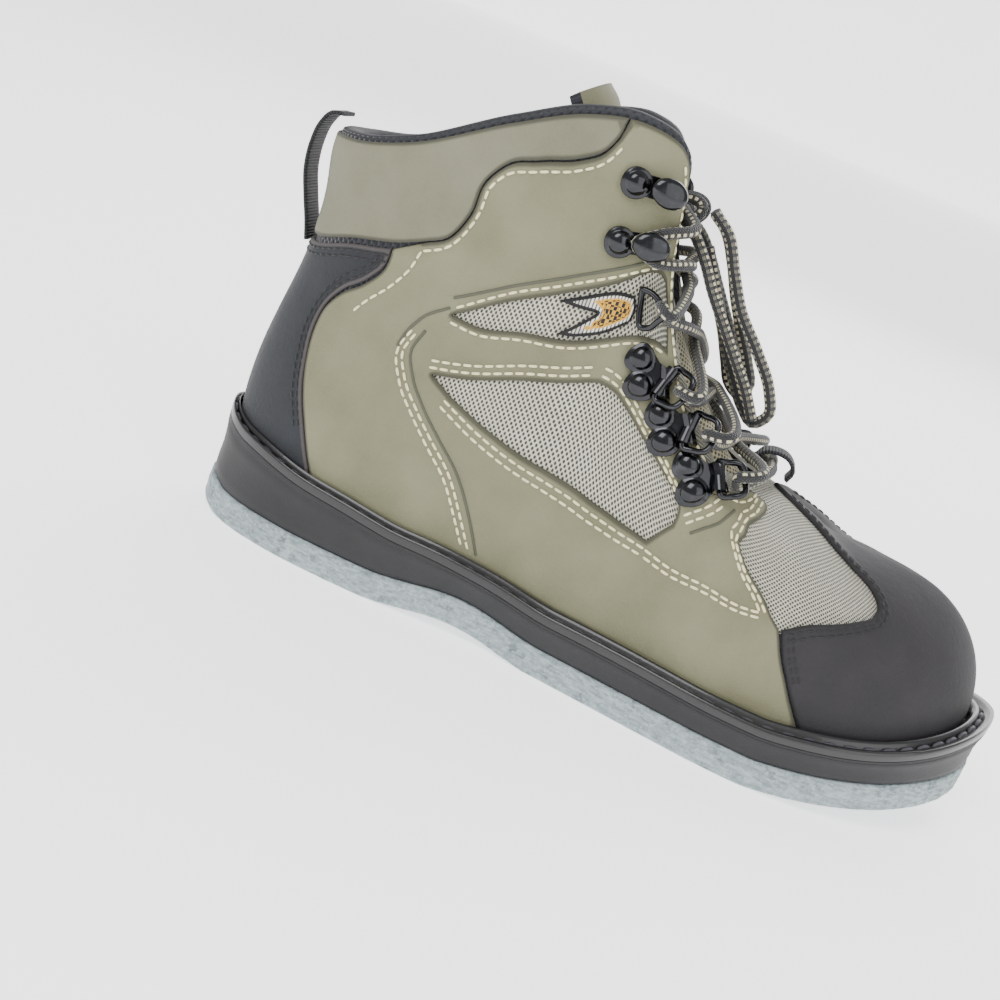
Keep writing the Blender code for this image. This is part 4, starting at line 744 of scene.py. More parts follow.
# Toe loop: its middle line over the lowest bar of the lace, as shares of LENGTH and INSTEP_HEIGHT
TOE_LOOP = (
    # along, up
    (0.657, 1.018),
    (0.661, 1.060),
    (0.651, 1.100),
    (0.635, 1.108),
    (0.620, 1.090),
    (0.614, 1.055),
    (0.606, 1.032),
)


def over_tongue(point, lift):
    """The point of the tongue's middle line nearest to a point, lifted off it."""
    rows = np.array(TONGUE)
    middle = [(a * LENGTH, m * BALL_WIDTH, u * COLLAR_HEIGHT) for a, u, _, m in rows[:, :4]]
    line = smooth_path(middle, 2 * MM)
    near = np.argmin(np.hypot(line[:, 0] - point[0], line[:, 2] - point[2]))
    near = min(max(near, 1), len(line) - 2)
    along = line[near + 1] - line[near - 1]
    out = np.cross((0, 1, 0), along)
    return line[near] + out / np.linalg.norm(out) * lift * np.sign(out[2])


def past_edge(side, start, middle):
    """Where a strand from start to middle passes over the eyelet edge."""
    stations = np.linspace(THROAT_TOP, 0.64, 60)
    edge = surface(side, stations, np.full(60, 0.94), LACE / 2 + EDGE_ROOM)
    way = (middle - start) / np.linalg.norm(middle - start)
    off = edge - start - np.outer((edge - start) @ way, way)
    return edge[np.argmin(np.linalg.norm(off, axis=1))]


CORDS = {
    "lace_loop_lateral": (
        (143.5, -5.5, 176.0),
        (151, -8, 171),
        (158, -9, 160),
        (166, -10, 148),
        (177, -10, 137),
        (187, -9, 125),
        (190, -8, 117),
        (186, -7, 112),
        (180, -6, 116),
        (174, -5, 123),
        (167, -4, 132),
        (160, -3.5, 143),
        (152, -3, 155),
        (146, -2.8, 164),
    ),
    "lace_loop_medial": (
        (143, 4.5, 176),
        (150, 7, 170),
        (156, 8.5, 161),
        (162, 10, 150),
        (169, 11, 139),
        (176, 11, 129),
        (180, 9, 121),
        (178, 6.5, 117.5),
        (173, 4.5, 120),
        (168, 3, 128),
        (163, 2.5, 137),
        (157, 2, 146),
        (151, 2, 155),
        (146, 2.2, 162),
    ),
    "lace_end_lateral": (
        (136, -9.5, 169),
        (140, -14, 167),
        (147, -16, 160),
        (154, -16, 151),
        (162, -15.5, 142),
        (170, -15, 133),
        (178, -14, 124),
        (185, -13, 114),
    ),
    "lace_end_medial": (
        (136, 9.5, 169),
        (140, 14, 167),
        (147, 17, 160),
        (154, 18, 151),
        (161, 19, 142),
        (168, 19, 133),
        (173, 19, 125),
    ),
}

# %% [markdown]
# ## Materials
# Every finish is built from nodes, with no pictures, so that it can be looked at from close by. A pattern
# that fills a piece, such as grain, is measured in the object's own space. A pattern that follows the
# surface, such as a knit, is measured on an attribute called flat. It holds millimetres along the panel,
# millimetres up it, and the distance from its cut edge. One function adds a node, and one turns sRGB
# colours to linear ones.

# %% Colours and nodes
def linear(colour):
    """An sRGB hex colour as linear channels."""
    channels = [int(colour[k : k + 2], 16) / 255 for k in (0, 2, 4)]
    return (*[c / 12.92 if c <= 0.04045 else ((c + 0.055) / 1.055) ** 2.4 for c in channels], 1)


def add_node(tree, kind, inputs, out=0, **settings):
    """One node with its settings and its inputs (values, links or hex colours): returns one output."""
    node = tree.nodes.new("ShaderNode" + kind)
    for key, value in settings.items():
        setattr(node, key, value)
    for key, value in inputs.items():
        if isinstance(value, bpy.types.NodeSocket):
            tree.links.new(value, node.inputs[key])
        else:
            node.inputs[key].default_value = linear(value) if isinstance(value, str) else value
    return node.outputs[out]


def start_paint(name, roughness, **more):
    """A new material, a function that adds its nodes, and its two spaces: the object's and the panel's."""
    paint = bpy.data.materials.new(name)
    paint.use_nodes = True
    shader = paint.node_tree.nodes["Principled BSDF"]
    shader.inputs["Roughness"].default_value = roughness
    for key, value in more.items():
        shader.inputs[key.replace("_", " ").title()].default_value = value
    add = functools.partial(add_node, paint.node_tree)
    space = add("TexCoord", {}, "Object")
    flat = add("Attribute", {}, "Vector", attribute_name="flat")
    return paint, add, space, flat


def finish_paint(paint, colour, normal):
    """Links the last colour and the last relief to the shader."""
    shader = paint.node_tree.nodes["Principled BSDF"]
    paint.node_tree.links.new(colour, shader.inputs["Base Color"])
    paint.node_tree.links.new(normal, shader.inputs["Normal"])
    return paint


def grain(vector, size, detail):
    """Inputs of a noise whose lumps are about size millimetres apart in the object's space."""
    return {"Vector": vector, "Scale": 1 / (size * MM), "Detail": detail}


def span(value, low, high, top=1.0):
    """Inputs of a map range: 0 below low, top above high."""
    return {"Value": value, "From Min": low, "From Max": high, "To Max": top}


def relief(height, depth, below=None):
    """Inputs of a bump of a depth in millimetres, over the relief below it."""
    over = {"Normal": below} if below else {}
    return {"Height": height, "Strength": 1.0, "Distance": depth * MM, **over}


RGB = {"out": 2, "data_type": "RGBA"}
SHARE, FIRST, SECOND = 0, 6, 7
print("one plain colour in linear light:", [round(c, 3) for c in linear("66654C")])

# %% [markdown]
# ## Nubuck
# Synthetic nubuck is a coated fabric that is brushed until it has a short nap. The eye sees soft clouds
# where the nap leans, a fine grain, and no gloss. Its cut edge has a colour of its own: dark on olive and
# charcoal pieces, pale on navy ones. The clouds are about 24 mm wide, the grain 2.4 mm and the nap 0.7
# mm, which is coarser than the real one, so that it shows.

# %% Nubuck
def nubuck(name, colour, worn, edge):
    paint, add, space, flat = start_paint(name, 0.78, sheen_weight=0.06, sheen_roughness=0.5)
    from_edge = add("SeparateXYZ", {"Vector": flat}, "Z")
    clouds = add("MapRange", span(add("TexNoise", grain(space, 23.81, 4)), 0.34, 0.70, 0.55))
    tone = add("Mix", {SHARE: clouds, FIRST: colour, SECOND: worn}, **RGB)
    nap = add("TexNoise", grain(space, 0.6667, 4))
    tone = add("Mix", {SHARE: add("MapRange", span(nap, 0.3, 0.75, 0.28)), FIRST: tone, SECOND: worn}, **RGB)
    cut = add("MapRange", span(from_edge, 1.5, 0.75, 0.72))
    tone = add("Mix", {SHARE: cut, FIRST: tone, SECOND: edge}, **RGB)
    coarse = add("Bump", relief(add("TexNoise", grain(space, 2.381, 5)), 0.16))
    return finish_paint(paint, tone, add("Bump", relief(nap, 0.10, coarse)))


OLIVE = nubuck("olive nubuck", "66654C", "807F66", "201F17")
CUFF = nubuck("olive collar nubuck", "62614C", "797866", "24241B")
CHARCOAL = nubuck("charcoal nubuck", "19171A", "2B282D", "0A090B")
NAVY = nubuck("navy nubuck", "0F1116", "1F232A", "4A4443")
print("nubuck in", len((OLIVE, CUFF, CHARCOAL, NAVY)), "colours")

# %% [markdown]
# ## Knits
# The panels are polyester mesh, knitted with a round hole at each loop. The collar and the tongue are
# lined with a denser dark knit. Cells at an even pitch, turned by 45 degrees, put the holes in staggered
# rows, as a knit does. The distance from a cell's middle cuts the hole and rounds the yarn round it.

# %% Knits
def knit(name, yarn, hole, tint, tinted, pitch, reach, sheen):
    """A knit with a hole at each pitch in millimetres, and a share of tint in clouds."""
    paint, add, space, flat = start_paint(name, 0.85, sheen_weight=sheen)
    turned = add("Mapping", {"Vector": flat, "Rotation": (0, 0, math.radians(45))})
    cells = {"Vector": turned, "Scale": 1 / pitch, "Randomness": 0.08}
    away = add("TexVoronoi", cells, "Distance", voronoi_dimensions="2D")
    clouds = add("MapRange", span(add("TexNoise", grain(space, 16.667, 3)), 0.3, 0.75))
    shade = add("Mix", {SHARE: clouds, FIRST: yarn, SECOND: tint}, **RGB)
    tone = add("Mix", {SHARE: tinted, FIRST: yarn, SECOND: shade}, **RGB)
    opening = add("MapRange", span(away, reach + 0.07, reach - 0.09))
    tone = add("Mix", {SHARE: opening, FIRST: tone, SECOND: hole}, **RGB)
    loops = add("Bump", relief(add("MapRange", span(away, reach - 0.14, reach + 0.2)), 0.45))
    fibres = add("TexNoise", grain(space, 0.38462, 2))
    return finish_paint(paint, tone, add("Bump", relief(fibres, 0.08, loops)))


MESH = knit("pale knitted mesh", "CBC9B6", "3B3A36", "B3B09A", 0.45, pitch=1.27, reach=0.36, sheen=0.2)
LINING = knit("dark knitted lining", "23252D", "0F1014", "0F1014", 0.15, pitch=2.2, reach=0.30, sheen=0.3)
GUSSET = knit("cream gusset mesh", "C8C0A0", "57523F", "57523F", 0.15, pitch=1.6, reach=0.34, sheen=0.2)
print("holes of the mesh are 1.27 mm apart")

# %% [markdown]
# ## Felt and rubber
# The outsole is pressed wool and nylon felt, cut with a knife. Its wall shows fibres that lie flat, so
# the noise is stretched along the sole, with dark and pale flecks. The midsole is matt moulded rubber,
# and the welt is smoother, with a slight gloss where it was polished.

# %% Felt
def pressed_felt():
    paint, add, space, flat = start_paint("pressed grey felt", 0.97, sheen_weight=0.15)
    laid = add("Mapping", {"Vector": space, "Scale": (1, 1, 3.4)})
    fibres = add("TexNoise", grain(laid, 3.8462, 6))
    dark = add("MapRange", span(add("TexNoise", grain(space, 5.2632, 5)), 0.56, 0.66, 0.55))
    pale = add("MapRange", span(add("TexNoise", grain(space, 1.1111, 3)), 0.5, 0.7, 0.5))
    lit = add("MapRange", span(fibres, 0.32, 0.68))
    tone = add("Mix", {SHARE: lit, FIRST: "738084", SECOND: "9FABAE"}, **RGB)
    tone = add("Mix", {SHARE: dark, FIRST: tone, SECOND: "48545A"}, **RGB)
    tone = add("Mix", {SHARE: pale, FIRST: tone, SECOND: "B4BEC0"}, **RGB)
    tufts = add("Bump", relief(fibres, 0.8))
    fluff = add("TexNoise", grain(space, 0.71429, 4))
    return finish_paint(paint, tone, add("Bump", relief(fluff, 0.35, tufts)))


FELT_PAINT = pressed_felt()
print("felt:", FELT_PAINT.name)

# %% Rubber
def rubber(name, colour, dusty, roughness, depth, coat=0.0):
    """Moulded rubber or a plain dark cover: clouds of dust, and a fine grain of a depth in millimetres."""
    paint, add, space, flat = start_paint(name, roughness, coat_weight=coat)
    clouds = add("MapRange", span(add("TexNoise", grain(space, 18.182, 4)), 0.35, 0.75, 0.6))
    tone = add("Mix", {SHARE: clouds, FIRST: colour, SECOND: dusty}, **RGB)
    return finish_paint(paint, tone, add("Bump", relief(add("TexNoise", grain(space, 1.1111, 4)), depth)))


MIDSOLE = rubber("matt moulded rubber", "0E0E11", "1C1B1F", 0.6, 0.10)
WELT_PAINT = rubber("welt rubber", "09090B", "131216", 0.36, 0.05, 0.3)
FOOTBED_PAINT = rubber("footbed cover", "24262C", "30323A", 0.9, 0.2)
BINDING = rubber("collar binding", "17181D", "24252C", 0.7, 0.15)
SEAM = rubber("folded seam", "4A4B3E", "55564A", 0.85, 0.1)
print("rubber and covers:", MIDSOLE.name, "and four more")

# %% [markdown]
# ## Threads and laces
# Stitches are polyester thread. The lace is a round braid, black, with three rows of cream flecks, and
# its two sets of yarns wind round it in both directions. Its flat attribute holds the run in millimetres
# and the turn, so the braid follows the lace wherever it goes.

# %% Threads
THREAD_SHADE = 0.72


def thread(name, colour):
    paint, add, space, flat = start_paint(name, 0.6)
    dark = tuple(THREAD_SHADE * c for c in linear(colour)[:3]) + (1,)
    clouds = add("MapRange", span(add("TexNoise", grain(space, 1.4286, 2)), 0.3, 0.8))
    tone = add("Mix", {SHARE: clouds, FIRST: colour, SECOND: dark}, **RGB)
    return finish_paint(paint, tone, add("Bump", relief(add("TexNoise", grain(space, 0.4, 2)), 0.06)))


CREAM = thread("cream thread", "EAE2B4")
DARK_THREAD = thread("dark thread", "0C0C10")
WELT_THREAD = thread("grey welt thread", "45444C")
print("threads:", CREAM.name, DARK_THREAD.name, WELT_THREAD.name)

# %% Braid
FLECK_PITCH = 2.381  # millimetres along the lace
FLECK_ROWS = 3
YARN_PITCH = 1.0472  # millimetres from one yarn of the braid to the next
YARNS = 8


def braided_lace():
    paint, add, space, flat = start_paint("black and cream lace", 0.8, sheen_weight=0.25)
    run, turn = (add("SeparateXYZ", {"Vector": flat}, axis) for axis in "XY")
    shares = []
    for place, count, wide, narrow in ((turn, FLECK_ROWS, 0.17, 0.11), (run, 1 / FLECK_PITCH, 0.30, 0.22)):
        steps = add("Math", {0: place, 1: count}, operation="MULTIPLY")
        part = add("Math", {0: steps}, operation="FRACT")
        off = add("Math", {0: part, 1: 0.5}, operation="SUBTRACT")
        shares.append(add("MapRange", span(add("Math", {0: off}, operation="ABSOLUTE"), wide, narrow)))
    fleck = add("Math", {0: shares[0], 1: shares[1]}, operation="MULTIPLY")
    tone = add("Mix", {SHARE: fleck, FIRST: "18181B", SECOND: "C9C2A0"}, **RGB)
    along = add("Math", {0: run, 1: 2 * math.pi / YARN_PITCH}, operation="MULTIPLY")
    round_it = add("Math", {0: turn, 1: 2 * math.pi * YARNS}, operation="MULTIPLY")
    yarns = []
    for way in ("ADD", "SUBTRACT"):
        slant = add("Math", {0: along, 1: round_it}, operation=way)
        yarns.append(add("Math", {0: slant}, operation="SINE"))
    braid = add("Math", {0: yarns[0], 1: yarns[1]}, operation="MAXIMUM")
    return finish_paint(paint, tone, add("Bump", relief(braid, 0.16)))


LACE_PAINT = braided_lace()
print("lace: a fleck each", FLECK_PITCH, "mm")

# %% [markdown]
# ## Webbing and lacquer
# Tape is woven, and its rows of weft show as ribs across it. The black tape is plain black, with a painted
# highlight on each rib and painted shade between them. The striped one has a black selvedge, a white line of
# ladder rungs, and a yellow middle with black checks, all measured from its edge. The metal is steel with a
# gunmetal lacquer: dark, glossy, and paler where it has rubbed.

# %% Woven tape
WEFT = 1.122  # millimetres from rib to rib
CHECK = 1 / 0.85  # millimetres to the side of a check


def woven_rows(add, flat):
    along = add("SeparateXYZ", {"Vector": flat}, "X")
    turns = add("Math", {0: along, 1: 2 * math.pi / WEFT}, operation="MULTIPLY")
    return add("Math", {0: turns}, operation="SINE")


def black_tape():
    paint, add, space, flat = start_paint("black woven tape", 0.75)
    rows = woven_rows(add, flat)
    # painted highlight on the rib crests and painted shade in the troughs between them, on the same wave as
    # the bump
    ribs = add("MapRange", span(rows, -0.6, 0.9))
    tone = add("Mix", {SHARE: ribs, FIRST: "101114", SECOND: "2A2B30"}, **RGB)
    return finish_paint(paint, tone, add("Bump", relief(rows, 0.22)))


def striped_tape():
    paint, add, space, flat = start_paint("yellow woven tape", 0.75)
    rows = woven_rows(add, flat)
    edge = add("SeparateXYZ", {"Vector": flat}, "Z")
    checks = add("TexChecker", {"Vector": flat, "Scale": 1 / CHECK}, "Fac")
    middle = add("MapRange", span(edge, 1.9, 2.1))
    border = add("MapRange", span(edge, 1.65, 1.5))
    rungs = add("Math", {0: border, 1: add("MapRange", span(rows, 0.3, 0.6))}, operation="MULTIPLY")
    black = add("Math", {0: checks, 1: middle}, operation="MULTIPLY")
    tone = add("Mix", {SHARE: black, FIRST: "D9A233", SECOND: "20201E"}, **RGB)
    tone = add("Mix", {SHARE: border, FIRST: tone, SECOND: "E8E5DA"}, **RGB)
    tone = add("Mix", {SHARE: rungs, FIRST: tone, SECOND: "4A4944"}, **RGB)
    selvedge = add("MapRange", span(edge, 0.95, 0.8))
    tone = add("Mix", {SHARE: selvedge, FIRST: tone, SECOND: "141417"}, **RGB)
    return finish_paint(paint, tone, add("Bump", relief(rows, 0.22)))


TAPE = striped_tape()
BLACK_TAPE = black_tape()
print("ribs of the tape are", WEFT, "mm apart")

# %% Lacquer
def gunmetal():
    """Lacquered steel, smooth all over: what shows is its gloss and the rubbed places."""
    paint, add, space, flat = start_paint("gunmetal lacquer", 0.24, metallic=0.85, coat_weight=0.6)
    paint.node_tree.nodes["Principled BSDF"].inputs["Coat Roughness"].default_value = 0.1
    worn = add("MapRange", span(add("TexNoise", grain(space, 3.3333, 5)), 0.55, 0.8, 0.5))
    tone = add("Mix", {SHARE: worn, FIRST: "16171C", SECOND: "3C3F47"}, **RGB)
    paint.node_tree.links.new(tone, paint.node_tree.nodes["Principled BSDF"].inputs["Base Color"])
    return paint


METAL = gunmetal()
print("materials:", len(bpy.data.materials))

# %% [markdown]
# ## Making pieces
# A piece is one mesh with its flat coordinates as an attribute. It hangs from one empty with the other
# pieces, hides the parts of the frame that it stands for, and wears the finishes it is given.

# %% Piece helpers
def piece(name, points, faces, paints, stands_for=(), flat=None, kinds=None, smooth=55):
    """One finished piece from points in metres, measured from the heel's rear edge."""
    name = name.replace(" ", "_")
    mesh = bpy.data.meshes.new(name)
    moved = np.asarray(points, float) - (HEEL_REST, 0, 0)
    mesh.from_pydata([tuple(p) for p in moved], [], [tuple(int(i) for i in f) for f in faces])
    if flat is not None:
        layer = mesh.attributes.new("flat", "FLOAT_VECTOR", "POINT")
        layer.data.foreach_set("vector", np.asarray(flat, float).ravel())
    for paint in paints if isinstance(paints, (list, tuple)) else [paints]:
        mesh.materials.append(paint)
    if kinds is not None:
        mesh.polygons.foreach_set("material_index", np.asarray(kinds, np.int32))
    work = bmesh.new()
    work.from_mesh(mesh)
    bmesh.ops.recalc_face_normals(work, faces=work.faces)
    loose = [v for v in work.verts if not v.link_faces]
    bmesh.ops.delete(work, geom=loose, context="VERTS")
    work.to_mesh(mesh)
    work.free()
    mesh.shade_smooth()
    mesh.set_sharp_from_angle(angle=math.radians(smooth))
    made = bpy.data.objects.new(name, mesh)
    bpy.context.scene.collection.objects.link(made)
    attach(made, "root")
    if stands_for:
        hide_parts(*([stands_for] if isinstance(stands_for, str) else stands_for))
    return made


def tube(path, radius, sides=12, closed=False):
    """A tube with its run in millimetres and its turn, for the braid."""
    points, faces = sweep(path, radius, sides, closed)
    run = np.r_[0, np.cumsum(np.linalg.norm(np.diff(np.asarray(path), axis=0), axis=1))] / MM
    turn = np.tile(np.arange(sides) / sides, len(path))
    flat = np.column_stack([np.repeat(run, sides), turn, np.zeros(len(points))])
    return points, faces, flat


def quads(rows, around, closed=True):
    """Faces between rows of points, round a ring or, when it is not closed, along a strip."""
    faces = []
    for row in range(rows - 1):
        for k in range(around if closed else around - 1):
            here, there = row * around + k, row * around + (k + 1) % around
            faces.append((here, there, there + around, here + around))
    return faces


def join(parts):
    """Several solids as one list of points, faces and flat coordinates."""
    points, faces, flats, start = [], [], [], 0
    for part_points, part_faces, *flat in parts:
        points.append(np.asarray(part_points))
        faces += [tuple(start + i for i in f) for f in part_faces]
        flats.append(flat[0] if flat else np.zeros((len(part_points), 3)))
        start += len(part_points)
    return np.vstack(points), faces, np.vstack(flats)


# %% [markdown]
# ## Creases
# Synthetic nubuck folds where the foot bends and where the ankle leans. Each crease is listed, from one
# place to another on the last, with a width and a depth in millimetres.

# %% Creases
CREASES = (
    # station, level, station, level, width, depth
    (0.588, 0.44, 0.640, 0.62, 5.0, 0.9),
    (0.560, 0.20, 0.625, 0.40, 6.0, 0.7),
    (0.640, 0.24, 0.655, 0.45, 5.0, 0.8),
    (0.645, 0.70, 0.700, 0.80, 5.0, 0.9),
    (0.470, 0.30, 0.540, 0.36, 7.0, 0.9),
    (0.380, 0.36, 0.470, 0.40, 8.0, 0.8),
    (0.230, 0.62, 0.330, 0.68, 7.0, 1.1),
    (0.250, 0.78, 0.330, 0.80, 9.0, 1.0),
    (0.290, 0.46, 0.400, 0.49, 6.0, 0.9),
    (0.200, 0.30, 0.240, 0.52, 7.0, 0.8),
    (0.060, 0.48, 0.110, 0.56, 8.0, 0.7),
    (0.020, 0.80, 0.120, 0.86, 9.0, 1.0),
    (0.140, 0.78, 0.220, 0.88, 8.0, 0.9),
    (0.300, 0.93, 0.370, 0.95, 6.0, 0.7),
    (0.800, 0.30, 0.860, 0.36, 12.0, 0.5),
    (0.760, 0.80, 0.800, 0.96, 9.0, 0.5),
)


def crease(side, station, level):
    """Soft troughs with a low ridge beside them, in metres of lift."""
    place = np.stack([station * SIDE_REACH, level * WALL_REACH], axis=-1)
    lift = np.zeros(np.shape(station))
    shift = 0.012 if side == "medial" else 0.0
    for s0, l0, s1, l1, wide, deep in CREASES:
        start = np.array([(s0 + shift) * SIDE_REACH, l0 * WALL_REACH])
        way = np.array([(s1 + shift) * SIDE_REACH, l1 * WALL_REACH]) - start
        share = np.clip((place - start) @ way / (way @ way), 0, 1)
        off = place - start - share[..., None] * way
        away = np.linalg.norm(off, axis=-1) / (wide * MM)
        fade = 1 - 0.6 * np.abs(2 * share - 1)
        lift += deep * MM * fade * (0.45 * np.exp(-((away - 1.5) ** 2) / 0.5) - np.exp(-(away**2)))
    keep = np.clip(level / 0.12, 0, 1) * np.clip((1 - level) / 0.06, 0, 1)
    return np.where(station > 0.7, keep, np.clip(level / 0.12, 0, 1)) * lift


plain_surface = surface


def surface(side, station, level, lift=0.0):
    """The last's surface with its creases, lifted."""
    station, level = np.broadcast_arrays(np.asarray(station, float), np.asarray(level, float))
    return plain_surface(side, station, level, np.asarray(lift) + crease(side, station, level))


print("creases:", len(CREASES))

# %% [markdown]
# ## The sole
# The felt is one thick slab with a soft, fibrous wall. The midsole leans in towards it. The welt carries
# a glossy bead beside the upper, and a groove with the stitches that hold the sole.

# %% Felt and midsole
SOLE_STEPS = 150


def sole_ring(inset, height):
    loop, _ = rim_loop(inset, SOLE_STEPS)
    return np.column_stack([loop, height(loop[:, 0])])


def tucked(extra):
    return lambda side, station: tuck_at(side, station) + extra


felt_top = lambda x: floor_gap(x) + FELT
rings = []
FELT_WALL = (  # share of the height, and how far in the wall is there, in millimetres
    *((0, 1.1), (0.03, 0.35), (0.10, 0.0), (0.25, 0.15), (0.45, -0.05)),
    *((0.65, 0.12), (0.85, 0.0), (0.95, 0.3), (1, 0.9)),
)
for share, inwards in FELT_WALL:
    height = lambda x, share=share: floor_gap(x) + share * FELT
    rings.append(sole_ring(tucked(inwards * MM - FELT_PROUD), height))
rough = np.random.default_rng(4)
for ring in rings[1:-1]:
    ring[:, :2] += rough.normal(0, 0.10 * MM, ring[:, :2].shape)
points, faces = slab(rings, SOLE_STEPS)
piece("felt sole", points, faces, FELT_PAINT, "felt_outsole")

rings = []
MIDSOLE_WALL = (  # the same for the midsole, with a groove near its top
    *((0, 0.6), (0.04, 0.1), (0.2, 0.25), (0.45, 0.75), (0.7, 0.55)),
    *((0.86, 0.1), (0.90, 0.35), (0.94, 0.05), (1, 0.2)),
)
for share, inwards in MIDSOLE_WALL:
    height = lambda x, share=share: felt_top(x) + GAP + share * (platform(x) - felt_top(x) - GAP)
    def inset(side, station, share=share, inwards=inwards):
        return tuck_at(side, station) * (1 - share) ** 1.3 + inwards * MM

    rings.append(sole_ring(inset, height))
points, faces = slab(rings, SOLE_STEPS)
piece("moulded midsole", points, faces, MIDSOLE, "midsole")

# %% Welt with its bead, groove and stitches
WELT_FINE = (
    # share of the ledge from the upper to the rim, share of WELT above the platform
    (0.00, 0.00), (0.01, 0.75), (0.06, 1.16), (0.13, 1.38), (0.21, 1.45), (0.29, 1.38), (0.37, 1.12),
    (0.42, 0.80), (0.47, 0.58), (0.54, 0.55), (0.60, 0.62), (0.68, 0.86), (0.75, 0.98), (0.88, 1.02),
    (0.96, 0.96), (1.00, 0.75), (1.01, 0.40), (1.00, 0.00),
)
loops = []
for out, up in WELT_FINE:
    ledge = lambda side, station, out=out: (COLUMNS["ledge"](station) - WELT_SEAT) * (1 - out)
    loop, _ = rim_loop(ledge, SOLE_STEPS)
    loops.append(np.column_stack([loop, platform(loop[:, 0]) + GAP + up * WELT]))
total, rows = len(loops[0]), len(loops)
faces = []
for r in range(rows):
    for k in range(total):
        n, s = (k + 1) % total, (r + 1) % rows
        faces.append((r * total + k, r * total + n, s * total + n, s * total + k))
piece("stitched welt", np.vstack(loops), faces, WELT_PAINT, "welt")


# share of a stitch's length, and its size and rise there in radii of the thread
STITCH_PROFILE = ((0, 0.45, 0.0), (0.14, 0.9, 0.35), (0.5, 1.0, 0.5), (0.86, 0.9, 0.35), (1, 0.45, 0.0))


def stitch(start, end, out, radius, flatten=0.6):
    """One stitch: a short thread from start to end that rises along out in the middle."""
    way = (end - start) / np.linalg.norm(end - start)
    side = np.cross(out, way)
    points = []
    for share, size, rise in STITCH_PROFILE:
        middle = start + (end - start) * share + out * rise * radius
        for turn in np.radians((0, 60, 120, 180, 240, 300)):
            points.append(middle + size * radius * (math.cos(turn) * side + flatten * math.sin(turn) * out))
    faces = quads(len(STITCH_PROFILE), 6)
    faces += [tuple(range(5, -1, -1)), tuple(range(24, 30))]
    return np.array(points), faces


groove = lambda side, station: (COLUMNS["ledge"](station) - WELT_SEAT) * (1 - 0.53)
loop, _ = rim_loop(groove, 2 * SOLE_STEPS)
loop = np.column_stack([loop, platform(loop[:, 0]) + GAP + 0.62 * WELT])
walked = np.r_[0, np.cumsum(np.linalg.norm(np.diff(loop, axis=0), axis=1))]
pitch = 7.5 * MM
marks = np.arange(0, walked[-1] - pitch, pitch)
at = lambda run: np.array([np.interp(run, walked, loop[:, c]) for c in range(3)])
bumps = [stitch(at(m), at(m + 0.72 * pitch), np.array([0, 0, 1.0]), 1.0 * MM, 0.8) for m in marks]
points, faces, flat = join(bumps)
piece("welt stitches", points, faces, WELT_THREAD, (), flat)
print("welt stitches:", len(bumps))

# %% Footbed
within = lambda side, station: COLUMNS["ledge"](station) + shell_depth(station) + WALL + 3 * GAP
rings = [
    sole_ring(within, lambda x: platform(x) + GAP),
    sole_ring(within, lambda x: platform(x) + 0.8 * FOOTBED),
    sole_ring(lambda side, station: within(side, station) + 1 * MM, lambda x: platform(x) + FOOTBED),
]
points, faces = slab(rings, SOLE_STEPS)
piece("footbed", points, faces, FOOTBED_PAINT, "insole")

# %% [markdown]
# ## The upper
# The mesh body is one hollow shell on the last: pale knit outside, dark knit inside. It shows in the
# windows of the olive leather. The panels over it are cut from the same surface, with rolled edges.

# %% Both halves of a shell
def halves(flat, faces, lifts, edge=None):
    """Outer and inner sheets of both halves, sewn along the middle: points, faces, flat and kinds."""
    station, level = flat.T
    vamp = (level > 0.9999) & (station > VAMP_START)
    toe = station > 0.9999
    sewn = (station < 0.0001) | toe | vamp
    tip = np.flatnonzero(vamp & toe)[0]
    near_tip = max(np.flatnonzero(vamp & ~toe), key=lambda i: station[i])
    faces = [tuple(dict.fromkeys(near_tip if i == tip else i for i in f)) for f in faces]
    faces = [f for f in faces if len(f) > 2 and not sewn[list(f)].all()]
    count = len(flat)
    both = faces + [tuple(i if sewn[i] else count + i for i in reversed(f)) for f in faces]
    sheets = []
    for lift in lifts:
        out, back = (surface(side, station, level, lift(station, level)) for side in SIDES)
        out[sewn] = (out[sewn] + back[sewn]) / 2
        sheet = np.vstack([out, back])
        low = np.tile(level < 0.0001, 2)
        sheet[low, 2] = (platform(sheet[:, 0]) + GAP)[low]
        sheets.append(sheet)
    points, solid = thicken(*sheets, both)
    kinds = np.ones(len(solid), int)
    kinds[: len(both)] = 0
    rim = np.zeros(count) + 9 if edge is None else edge
    spread = np.column_stack([station * SIDE_REACH / MM, level * WALL_REACH / MM, rim])
    return points, solid, np.tile(spread, (4, 1)), kinds


stations = np.linspace(0, 1, 171)
levels = np.linspace(0, 1, 53)
rows = len(levels)
flat = np.array([(station, level) for station in stations for level in levels])
starts = [c * rows + r for c in range(len(stations) - 1) for r in range(rows - 1)]
faces = [(a, a + rows, a + rows + 1, a + 1) for a in starts]


def skin(station, level):
    """The height of the knit's outer sheet: below zero, as it lies under the panels' faces."""
    return -(0.72 * OVERLAY + 0.5 * (shell_depth(station) - OVERLAY)) * edge_thin(station, level)


depth = lambda station, level: -(shell_depth(station)) * edge_thin(station, level) - wall_at(station, level)
points, solid, spread, kinds = halves(flat, faces, (skin, depth))
middles = np.array([spread[list(f)].mean(axis=0) for f in solid]) * MM / (SIDE_REACH, WALL_REACH, 1)
dark_parts = (
    # station from, to, level from, to: where no pale mesh shows between the leather parts
    (0.36, 0.52, 0.76, 1.0), (0.0, 0.25, 0.0, 1.0), (0.25, 0.45, 0.80, 1.0), (0.664, 0.73, 0.0, 0.30),
)
for s0, s1, l0, l1 in dark_parts:
    kinds[(middles[:, 0] >= s0) & (middles[:, 0] <= s1) & (middles[:, 1] >= l0) & (middles[:, 1] <= l1)] = 1
upper = piece("mesh upper", points, solid, [MESH, LINING], "upper", spread, kinds)
print("mesh upper:", len(upper.data.polygons), "faces")

